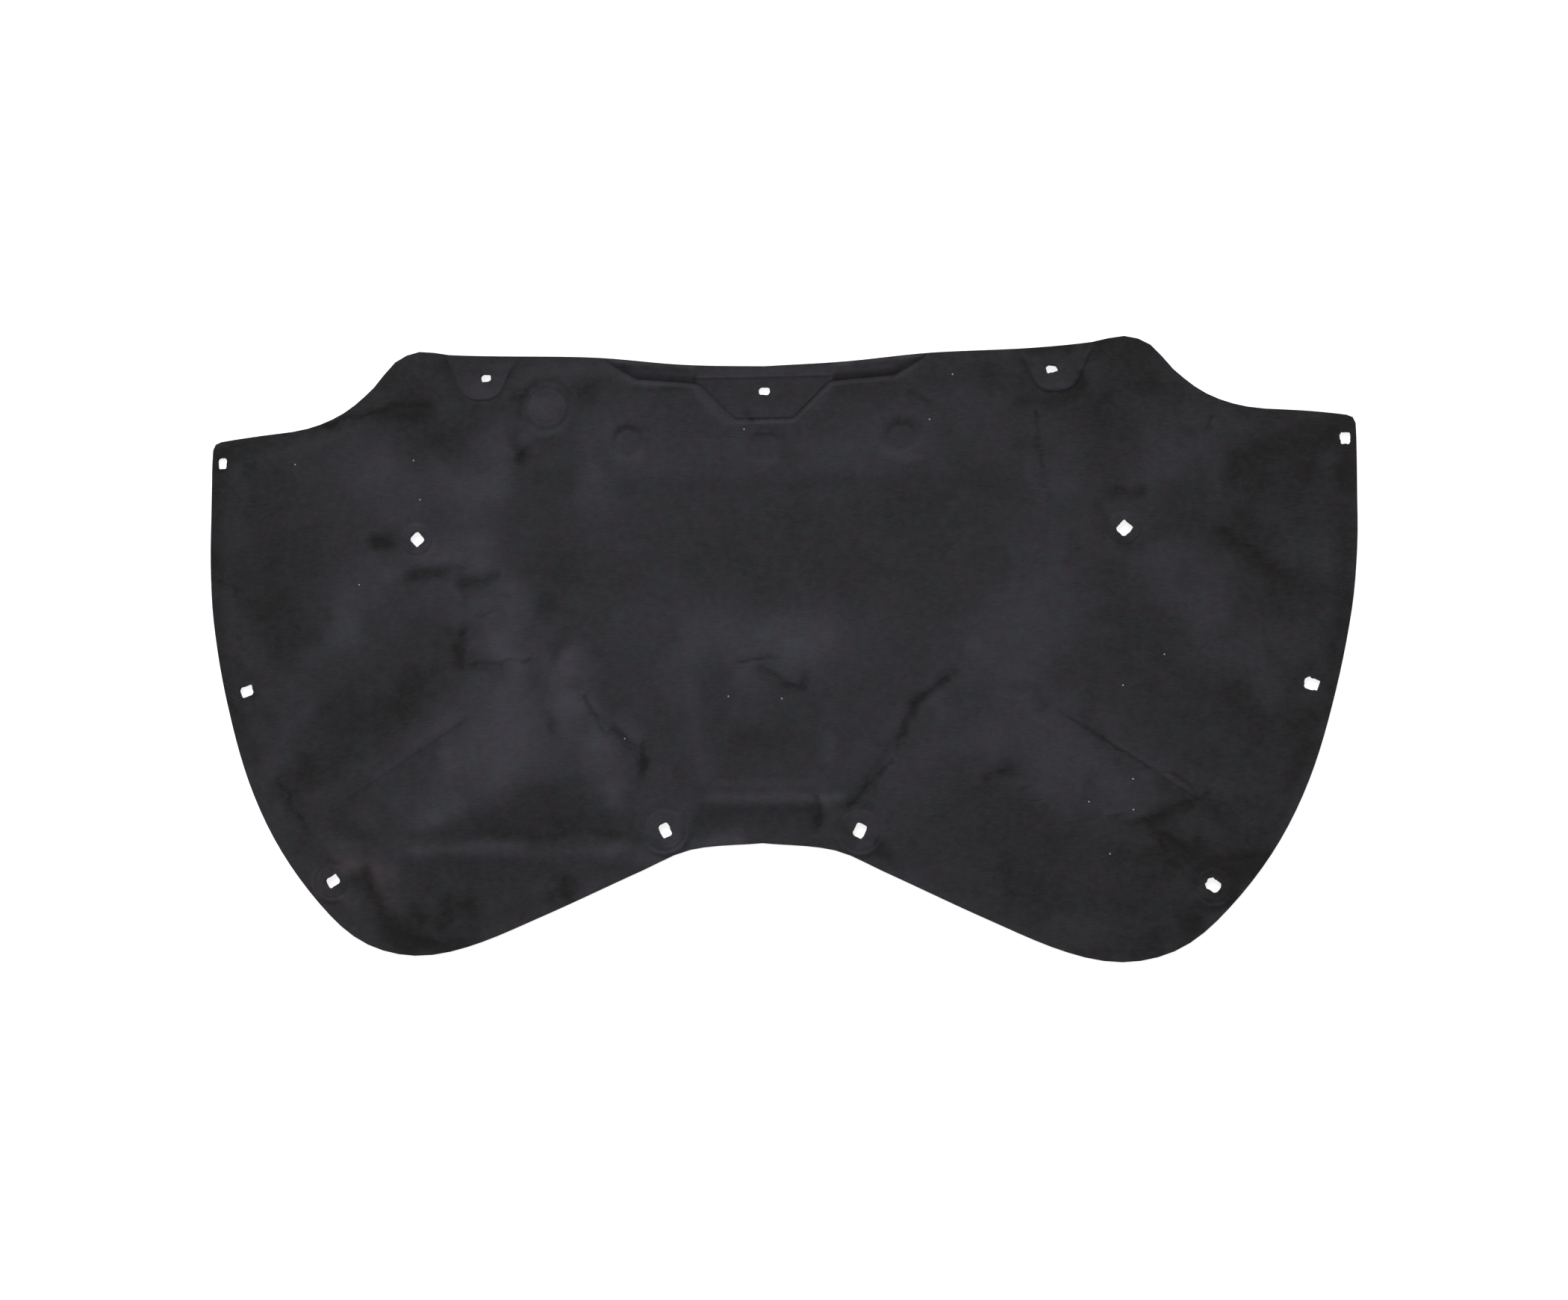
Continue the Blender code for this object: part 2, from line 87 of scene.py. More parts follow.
def cut_rings(bm):
    """The closed lines of the cut as lists of places, the outline first and then the clip holes."""
    waiting = dict.fromkeys(edge for edge in cut_edges(bm) if edge.verts[0].co.z > 0)
    rings = []
    while waiting:
        edge = next(iter(waiting))
        ring = list(edge.verts)
        while edge:
            del waiting[edge]
            edge = next((link for link in ring[-1].link_edges if link in waiting), None)
            if edge:
                ring.append(edge.other_vert(ring[-1]))
        rings.append([(vert.co.x, vert.co.y) for vert in ring[:-1]])
    return sorted(rings, key=lambda ring: max(y for _, y in ring) - min(y for _, y in ring), reverse=True)


blank = flat_blank(pad_node)
outline, *clip_holes = cut_rings(blank)
hole_middles = [np.mean(hole, axis=0) for hole in clip_holes]
bmesh.ops.bevel(
    blank, geom=cut_edges(blank), offset=edge_ease, segments=2, profile=0.5, affect="EDGES", material=-1,
    clamp_overlap=True,
)
bmesh.ops.triangulate(blank, faces=blank.faces)


# The mould's drawing. A heated tool presses the sheet, and these are the lines of its forms: a recess
# for the washer nozzles with a channel to each side, the clip seats, a shield panel with a dish at its
# foot, two wing panels, dimples and a disc. They lie where the solid has them.
rear_reach, front_reach = cad_box[1].y, -cad_box[0].y
rear_middle_y = rear_reach - 0.0255
arch_middle_y = 0.133 - front_reach
line_pitch = 0.006
fillet_points, longest_tuck = 7, 0.48


def smooth_line(knots):
    """Points along one smooth curve through the knots."""
    knots = [Vector(knot) for knot in knots]
    neighbours = zip(knots[:1] + knots, knots[1:] + knots[-1:])
    tangents = [(after - before).normalized() for before, after in neighbours]
    points = []
    for start, end, leave, arrive in zip(knots, knots[1:], tangents, tangents[1:]):
        length = (end - start).length
        handles = start + leave * length / 3, end - arrive * length / 3
        points.extend(interpolate_bezier(start, *handles, end, max(2, round(length / line_pitch) + 1))[:-1])
    return [(point.x, point.y) for point in points + knots[-1:]]


def mirrored(points):
    """The same places on the other side of the car."""
    return [(-x, y) for x, y in points]


def symmetric_ring(half):
    """Closed ring from its right half."""
    return half + mirrored(reversed([point for point in half if point[0] > 0]))


def filleted_ring(corners, radius):
    """Closed ring of straight sides with round corners."""
    corners = [Vector(corner) for corner in corners]
    ring = []
    for before, corner, after in zip(corners[-1:] + corners[:-1], corners, corners[1:] + corners[:1]):
        back, on = before - corner, after - corner
        half_angle = back.angle(on) / 2
        reach = min(radius / math.tan(half_angle), back.length * longest_tuck, on.length * longest_tuck)
        start, end = corner + back.normalized() * reach, corner + on.normalized() * reach
        tuck = 4 / 3 * math.tan((math.pi / 2 - half_angle) / 2) * math.tan(half_angle)
        arc = interpolate_bezier(start, start.lerp(corner, tuck), end.lerp(corner, tuck), end, fillet_points)
        ring += [(point.x, point.y) for point in arc]
    return ring


def hole_near(x, y):
    """Middle of the clip hole nearest to a place."""
    return min(hole_middles, key=lambda middle: math.dist(middle, (x, y)))


lined_seats = [
    (hole_near(side * x, y), radius)
    for side in (1, -1)
    for x, y, radius in ((0.42, 0.13, 0.0175), (0.51, -0.27, 0.0175), (0.11, -0.21, 0.0220))
]
plain_seats = [
    (hole_near(side * x, y), lift)
    for side in (1, -1)
    for x, y, lift in ((0.63, -0.05, 0.0022), (0.67, 0.23, 0.0008))
]
seat_level, seat_wall, seat_line_share = 0.0040, 0.006, 0.55
plain_seat_radius, plain_seat_wall = 0.012, 0.018
tongue = filleted_ring([(0.325, 0.3015), (0.361, 0.3015), (0.397, 0.381), (0.289, 0.381)], 0.020)
tongue_level, tongue_hollow, tongue_hollow_run = 0.0030, 0.0034, 0.030
pocket_half_width = 0.080
recess_half = [
    (0.196, rear_reach + 0.014),
    (0.196, rear_middle_y + 0.007),
    (0.156, rear_middle_y - 0.0165),
    (pocket_half_width, rear_middle_y - 0.0225),
    (0.036, rear_middle_y - 0.0665),
]
recess = filleted_ring(recess_half + mirrored(reversed(recess_half)), 0.014)
recess_wall = 0.004
lip_rise, lip_run, lip_edge_run = 0.0050, 0.009, 0.007
bead = [(-pocket_half_width, rear_middle_y - 0.013), (pocket_half_width, rear_middle_y - 0.013)]
bead_rise, bead_half_width = 0.0012, 0.0025
dimple_places = [(0.1625, rear_middle_y - 0.0895), (-0.1625, rear_middle_y - 0.0895)]
dimple_radius, dimple_depth, dimple_wall = 0.021, 0.0034, 0.0055
square_dimple = filleted_ring([(0.019, 0.2555), (-0.019, 0.2555), (-0.019, 0.2175), (0.019, 0.2175)], 0.010)
square_dimple_depth, square_dimple_wall = 0.0020, 0.0045
disc_place, disc_radius = (-0.262, rear_middle_y - 0.0455), 0.0215
disc_rise, disc_wall = 0.0012, 0.0045
disc_hollow_depth, disc_hollow_half_width = 0.0020, 0.007
shield = symmetric_ring(smooth_line([
    (0, 0.204),
    (0.215, 0.204),
    (0.290, 0.176),
    (0.318, 0.112),
    (0.288, 0.045),
    (0.225, -0.033),
    (0.178, -0.092),
    (0.140, -0.140),
    (0.122, -0.172),
    (0.060, -0.178),
    (0, -0.178),
]))
shield_drop, shield_wall = 0.0020, 0.022
crest_rise, crest_y, crest_run = 0.0028, 0.067, 0.062
dish_rear_y = -0.012
dish = filleted_ring([(0.090, dish_rear_y), (-0.090, dish_rear_y), (-0.066, -0.164), (0.066, -0.164)], 0.012)
dish_depth, dish_run, dish_wall = 0.0046, 0.110, 0.011
grooves = [  # line, depth and half width of each
    (smooth_line([
        (0.224, -0.036), (0.188, -0.066), (0.164, -0.106), (0.138, -0.144), (0.106, -0.186),
    ]), 0.0028, 0.012),
    (smooth_line([(-0.232, -0.020), (-0.203, -0.076), (-0.158, -0.116), (-0.147, -0.182)]), 0.0018, 0.008),
]
wing = filleted_ring([
    (0.346, -0.062), (0.352, 0.030), (0.402, 0.058), (0.590, -0.104), (0.572, -0.186), (0.508, -0.178),
], 0.030)
wing_drop, wing_wall = 0.0036, 0.030
wing_crease = [(0.338, -0.070), (0.512, -0.184)]
crease_drop, crease_wall, crease_fade, crease_end = 0.0020, 0.004, 0.050, 0.030
right_crease_share, left_crease_share = 1.0, 0.5
valley_y = 0.145 - front_reach
valley_inner_x, valley_outer_x, valley_end = 0.130, 0.465, 0.048
valley_depth, valley_rear_run, valley_front_run = 0.0036, 0.048, 0.020
flange_reach, flange_wall = 0.050, 0.018
flange_half_width, flange_side_wall = 0.078, 0.009


# Marks of handling. The felt has been folded, leant on and laid against things in storage, which left
# creases, dents and lapped wrinkles in it. Each has its line, half width and depth in millimetres.
def in_metres(rows):
    """Rows of a line, a reach and one more value, with the line and the reach in metres."""
    return [([(x / 1000, y / 1000) for x, y in line], reach / 1000, value) for line, reach, value in rows]


wear_marks = in_metres([
    # Rear left, in front of the hump
    ([(-535, 276), (-477, 287), (-435, 293), (-408, 292)], 6, 1.6),
    ([(-425, 289), (-422, 278)], 5, 0.8),
    ([(-301, 225), (-291, 234)], 8, 1.8),
    ([(-291, 234), (-274, 246), (-252, 252)], 5, 0.9),
    ([(-305, 252), (-290, 262)], 5, 0.6),
    ([(-467, 130), (-456, 128)], 11, 1.9),
    ([(-431, 87), (-398, 93), (-362, 98)], 8.5, 1.1),
    ([(-364, 77), (-339, 82), (-318, 87)], 8, 1.1),
    ([(-362, 72), (-357, 46)], 3, 0.6),
    ([(-302, 304), (-284, 306)], 6, 1),
    ([(-297, 288), (-294, 274)], 5, 0.7),
    ([(-236, 300), (-222, 296), (-206, 314), (-190, 318)], 9, 1.1),
    # Left, beside and across the star
    ([(-361, 22), (-365, 4), (-362, -18)], 8, 1.1),
    ([(-350, -19), (-318, -15), (-278, -13)], 3.5, 0.9),
    ([(-262, -40), (-258, -74)], 4, 0.6),
    ([(-255, -78), (-250, -98)], 6, 1.1),
    ([(-214, -62), (-204, -78), (-186, -95)], 4.5, 1.2),
    ([(-184, -97), (-166, -103), (-154, -118)], 7, 1),
    ([(-141, -112), (-139, -134), (-144, -156)], 6, 1.5),
    ([(-330, 68), (-302, 60)], 3, 0.5),
    ([(-344, 40), (-316, 44)], 3, 0.5),
    ([(-690, 102), (-650, 78), (-625, 56)], 3.5, 0.8),
    ([(-640, 18), (-632, 2)], 5, 0.8),
    # Left lobe
    ([(-583, -155), (-572, -172), (-545, -216)], 5, 1),
    ([(-520, -250), (-512, -254)], 7, 0.8),
    ([(-474, -262), (-466, -286), (-452, -304)], 8, 1.4),
    ([(-452, -318), (-426, -341), (-384, -351)], 10, 1.3),
    ([(-410, -306), (-398, -318)], 8, 0.8),
    ([(-372, -292), (-376, -318)], 7, 0.8),
    ([(-346, -302), (-342, -316)], 9, 1),
    ([(-230, -273), (-227, -285)], 11, 1),
    ([(-252, -288), (-250, -296)], 8, 0.9),
    # Rear right
    ([(316, 272), (324, 222), (333, 165)], 3.5, 0.9),
    ([(360, 128), (366, 106)], 3.5, 0.8),
    ([(371, 314), (370, 296)], 6, 1),
    ([(486, 252), (500, 241), (513, 245), (521, 262)], 3.5, 0.9),
    ([(404, 174), (440, 178)], 7, 1),
    ([(176, 298), (196, 288)], 6, 0.9),
    ([(532, 124), (556, 108), (580, 86)], 7, 1.5),
    # Down the right groove, where the pad was once folded
    ([(216, -42), (190, -60)], 9.5, 1.3),
    ([(180, -64), (170, -88), (164, -106)], 7.5, 1.1),
    ([(166, -114), (157, -126)], 5, 1),
    ([(150, -134), (134, -151), (105, -184)], 6.5, 1.4),
    # Right lobe
    ([(300, -166), (345, -193), (388, -224)], 3.5, 0.7),
    ([(262, -156), (284, -144)], 9, 1.5),
    ([(380, -99), (394, -110)], 6, 1),
    ([(394, -110), (440, -138), (490, -164)], 3, 0.7),
    ([(405, -199), (432, -204), (453, -202)], 4.5, 1.2),
    ([(450, -203), (466, -194), (486, -183)], 11, 1.9),
    ([(486, -183), (514, -171)], 4, 0.9),
    ([(452, -214), (470, -220), (484, -243)], 8, 1.4),
    ([(455, -226), (462, -242), (470, -260)], 6, 1.1),
    ([(500, -226), (516, -250)], 8, 0.9),
    ([(530, -246), (582, -242)], 8, 1.1),
    ([(134, -226), (142, -242)], 8, 1),
    # Middle, above the dish and along its foot
    ([(-24, -20), (-12, -16), (14, -16)], 5, 1.4),
    ([(0, -26), (12, -33), (20, -40)], 6, 1.3),
    ([(24, -46), (47, -46), (54, -30)], 5.8, 1.5),
    ([(63, -178), (67, -205)], 6, 1.4),
    ([(-22, 278), (-16, 270)], 5, 1),
    ([(-5, 258), (14, 256)], 5, 0.6),
])


# Pressing. The press closes on the blank, pinches the felt thin at the rim, the seats and the recess,
# and leaves it thicker between them. Each part of the sheet is moved to the height that its place has
# in the mould, and the underside follows by a third, as felt that is pressed from one side does.
field_lift = 0.0046
rim_land, rim_roll = 0.004, 0.030
underside_follow = 0.33
pressed_line_width, pressed_line_depth = 0.005, 0.0015
fine_pitch, plain_pitch, underside_pitch = 0.0024, 0.0056, 0.010
fine_reach = 0.007
halvings = 4
hole_radius, hole_reach = 0.008, 0.020


def distance_to(points, line, closed=False):
    """Distance from each point to the nearest stretch of a line or ring."""
    nearest = np.full(len(points), np.inf)
    for start, end in zip(line, line[1:] + line[:1] if closed else line[1:]):
        start, along = np.array(start), np.subtract(end, start)
        share = np.clip((points - start) @ along / (along @ along), 0, 1)
        nearest = np.minimum(nearest, np.linalg.norm(points - start - share[:, None] * along, axis=1))
    return nearest


def depth_inside(points, ring):
    """Distance from a closed ring, positive inside it."""
    inside = np.zeros(len(points), bool)
    for (x0, y0), (x1, y1) in zip(ring, ring[1:] + ring[:1]):
        if y0 != y1:
            spans = (points[:, 1] >= min(y0, y1)) & (points[:, 1] < max(y0, y1))
            inside ^= spans & (points[:, 0] < x0 + (points[:, 1] - y0) * (x1 - x0) / (y1 - y0))
    return distance_to(points, ring, closed=True) * np.where(inside, 1, -1)


def ramp(distance, run):
    """Soft step from 0 to 1 over a run."""
    share = np.clip(distance / run, 0, 1)
    return share * share * (3 - 2 * share)


def ridge(distance, half_width_of_ridge):
    """Soft ridge, 1 on its line and 0 beyond its half width."""
    return 1 - ramp(np.abs(distance), half_width_of_ridge)


def away_from(points, place):
    """Distance from each point to a place."""
    return np.linalg.norm(points - np.array(place), axis=1)


def pressed_line(outside):
    """Narrow line pressed just outside a form's edge."""
    return -pressed_line_depth * ridge(outside - pressed_line_width / 2, pressed_line_width / 2)


def panels(points):
    """The shield with its crest, dish and grooves, the wings with their creases, and the left valley."""
    x, y = points.T
    crest = crest_rise * ramp(crest_y - y, crest_run)
    relief = (crest - shield_drop) * ramp(depth_inside(points, shield), shield_wall)
    relief -= dish_depth * ramp(dish_rear_y - y, dish_run) * ramp(depth_inside(points, dish), dish_wall)
    for line, depth, half_width in grooves:
        relief -= depth * ridge(distance_to(points, line), half_width)
    start, end = np.array(wing_crease)
    along = (end - start) / np.linalg.norm(end - start)
    for side, share in ((points, right_crease_share), (points * (-1, 1), left_crease_share)):
        travel, in_front = (side - start) @ along, (side - start) @ (along[1], -along[0])
        ends = ramp(travel, crease_end) * ramp(math.dist(start, end) - travel, crease_end)
        lap = ramp(in_front, crease_wall) * (1 - ramp(in_front - crease_wall, crease_fade))
        relief -= crease_drop * share * lap * ends
        relief -= wing_drop * ramp(depth_inside(side, wing), wing_wall)
    ends = ramp(-valley_inner_x - x, valley_end) * ramp(x + valley_outer_x, valley_end)
    valley_run = np.where(y > valley_y, valley_rear_run, valley_front_run)
    return relief - valley_depth * ends * ridge(y - valley_y, valley_run)


def small_forms(points):
    """The dimples below the nozzle recess, and the disc on the left with its hollow ring."""
    relief = -square_dimple_depth * ramp(depth_inside(points, square_dimple), square_dimple_wall)
    for place in dimple_places:
        relief -= dimple_depth * ramp(dimple_radius - away_from(points, place), dimple_wall)
    from_disc = away_from(points, disc_place) - disc_radius
    hollow = disc_hollow_depth * ridge(from_disc - disc_hollow_half_width, disc_hollow_half_width)
    return relief + disc_rise * ramp(-from_disc, disc_wall) - hollow


def moulded_lift(points):
    """Height of the moulded face above the pinched felt, at each point of the plan."""
    from_edge = depth_inside(points, outline)
    lift = np.maximum(field_lift + panels(points) + small_forms(points), 0)
    lift *= ramp(from_edge - rim_land, rim_roll)

    # Flange between the arch seats
    flange = ramp(arch_middle_y + flange_reach - points[:, 1], flange_wall)
    flange *= ramp(flange_half_width - np.abs(points[:, 0]), flange_side_wall)
    lift *= 1 - flange

    # Seats: flat felt round each clip hole, with a wall, and a line pressed round most of them
    lines = np.zeros(len(points))
    for middle, radius in lined_seats:
        outside = away_from(points, middle) - radius
        lift += (seat_level - lift) * (1 - ramp(outside - pressed_line_width, seat_wall))
        lines += seat_line_share * pressed_line(outside)
    for middle, level in plain_seats:
        outside = away_from(points, middle) - plain_seat_radius
        lift += (level - lift) * (1 - ramp(outside, plain_seat_wall))
    for ring in (tongue, mirrored(tongue)):
        outside = -depth_inside(points, ring)
        beside = ramp(outside, pressed_line_width)
        hollow = beside * (1 - ramp(outside - pressed_line_width, tongue_hollow_run))
        lift = np.maximum(lift - tongue_hollow * hollow, 0)
        level = tongue_level * ramp(from_edge - rim_land, rim_roll / 2)
        lift += (level - lift) * (1 - beside)

    # Nozzle recess: flat in the pocket, with a lip behind each channel and a bead across
    inside = depth_inside(points, recess)
    lift *= ramp(-inside, recess_wall)
    lines += pressed_line(inside)
    lip = ramp(inside - pressed_line_width / 2, lip_run) * ramp(from_edge, lip_edge_run)
    lift += lip_rise * lip * ramp(np.abs(points[:, 0]) - pocket_half_width, recess_wall)
    lift += bead_rise * ridge(distance_to(points, bead), bead_half_width)
    return lift + lines * ramp(from_edge, rim_land)


# The noise starts at the same place in every run, and not from the clock
noise_start = 1
noise.seed_set(noise_start)


def drift(points, size, seed):
    """Smooth wander of each point, from -1 to 1 along each axis, over a size in metres."""
    return np.array([noise.noise_vector((x / size, y / size, seed))[:2] for x, y in points])


def wander(points, layers):
    """A few drifts added up, each with its amount, size and seed."""
    return sum(amount * drift(points, size, seed) for amount, size, seed in layers)


# Every mark of wear has a ragged edge, and no flat felt is without a slow swell
ragged_layers = [(0.0060, 0.020, 3), (0.0022, 0.005, 5)]
swell_layers = [(0.0005, 0.140, 7), (0.00022, 0.045, 11)]
calm_rim = 0.012


def wear(points):
    """Height of the slow swell less the depth of the wear marks."""
    torn = points + wander(points, ragged_layers)
    depth = np.zeros(len(points))
    for line, half_width, depth_in_mm in wear_marks:
        depth = np.maximum(depth, depth_in_mm / 1000 * ridge(distance_to(torn, line), half_width))
    swell = wander(points, swell_layers)[:, 0]
    return (swell - depth) * ramp(depth_inside(points, outline), calm_rim)


def allowed_length(middles):
    """Longest edge that the sheet may have at each place: short along whatever is crisp."""
    points = middles[:, :2]
    crisp = distance_to(points, recess, closed=True)
    for middle, radius in lined_seats:
        crisp = np.minimum(crisp, np.abs(away_from(points, middle) - radius - pressed_line_width / 2))
    for middle in hole_middles:
        crisp = np.minimum(crisp, away_from(points, middle) - hole_radius)
    for ring in (tongue, mirrored(tongue)):
        crisp = np.minimum(crisp, distance_to(points, ring, closed=True))
    for line in (bead, wing_crease, mirrored(wing_crease)):
        crisp = np.minimum(crisp, distance_to(points, line))
    for line, _, _ in wear_marks:
        crisp = np.minimum(crisp, distance_to(points, line))
    crisp = np.minimum(crisp, np.abs(away_from(points, disc_place) - disc_radius))
    pitch = np.where(crisp < fine_reach, fine_pitch, plain_pitch)
    return np.where(middles[:, 2] > sheet_thickness / 2, pitch, underside_pitch)


def divide(bm):
    """Halves the edges that are longer than allowed, a few times over."""
    for _ in range(halvings):
        ends = np.array([[vert.co[:] for vert in edge.verts] for edge in bm.edges])
        too_long = np.linalg.norm(ends[:, 0] - ends[:, 1], axis=1) > allowed_length(ends.mean(axis=1))
        chosen = [edge for edge, is_long in zip(bm.edges, too_long) if is_long]
        bmesh.ops.subdivide_edges(bm, edges=chosen, cuts=1, use_single_edge=True)
        cornered = [face for face in bm.faces if len(face.verts) > 3]
        bmesh.ops.triangulate(bm, faces=cornered, quad_method="SHORT_EDGE")


# Clips pulled out in haste have torn the holes on the right more than those on the left
torn_from_x, torn_pull, worn_pull = 0.15, 0.0021, 0.0009
fray_reach, fray_size, fray_seed = 0.004, 0.004, 13


def fray(points):
    """The points with the rims of the clip holes pulled out of true, as clips leave them."""
    moved = points.copy()
    for hole, middle in zip(clip_holes, hole_middles):
        pull = torn_pull if middle[0] > torn_from_x else worn_pull
        near = np.flatnonzero(away_from(points, middle) < hole_reach)
        hold = 1 - ramp(distance_to(points[near], hole, closed=True), fray_reach)
        moved[near] += pull * hold[:, None] * drift(points[near], fray_size, fray_seed)
    return moved


# Use has drawn the rear edge back on the left and forward on the right, and the rear right corner out
left_pull, left_pull_x, left_pull_reach = 0.0045, -0.31, 0.30
right_push, right_push_x, right_push_reach = 0.00225, 0.30, 0.20
rear_edge_y, rear_edge_run = 0.20, 0.12
corner_pull, corner_x, corner_run = 0.0030, 0.50, 0.15
right_edge_y, right_edge_run = -0.05, 0.20
corner_edge_y, corner_edge_run = 0.18, 0.06


def stretch(points):
    """How far each point has been drawn along each axis."""
    x, y = points.T
    back = left_pull * ridge(x - left_pull_x, left_pull_reach)
    back -= right_push * ridge(x - right_push_x, right_push_reach)
    back *= ramp(y - rear_edge_y, rear_edge_run)
    corner = corner_pull * ramp(x - corner_x, corner_run)
    out = corner * ramp(y - right_edge_y, right_edge_run)
    return np.column_stack((out, back + corner * ramp(y - corner_edge_y, corner_edge_run)))


def press(bm):
    """Moves the sheet to the mould, from its underside at 0 to its face at 1."""
    points = np.array([vert.co.xy for vert in bm.verts])
    for vert, (x, y) in zip(bm.verts, fray(points) + stretch(points)):
        vert.co.x, vert.co.y = x, y
    lift = moulded_lift(points)
    worn = wear(points)
    for vert, height, mark in zip(bm.verts, lift, worn):
        share = vert.co.z / sheet_thickness
        underside = underside_follow * max(height, 0)
        vert.co.z = underside + share * (sheet_thickness + height + mark - underside)


divide(blank)
press(blank)


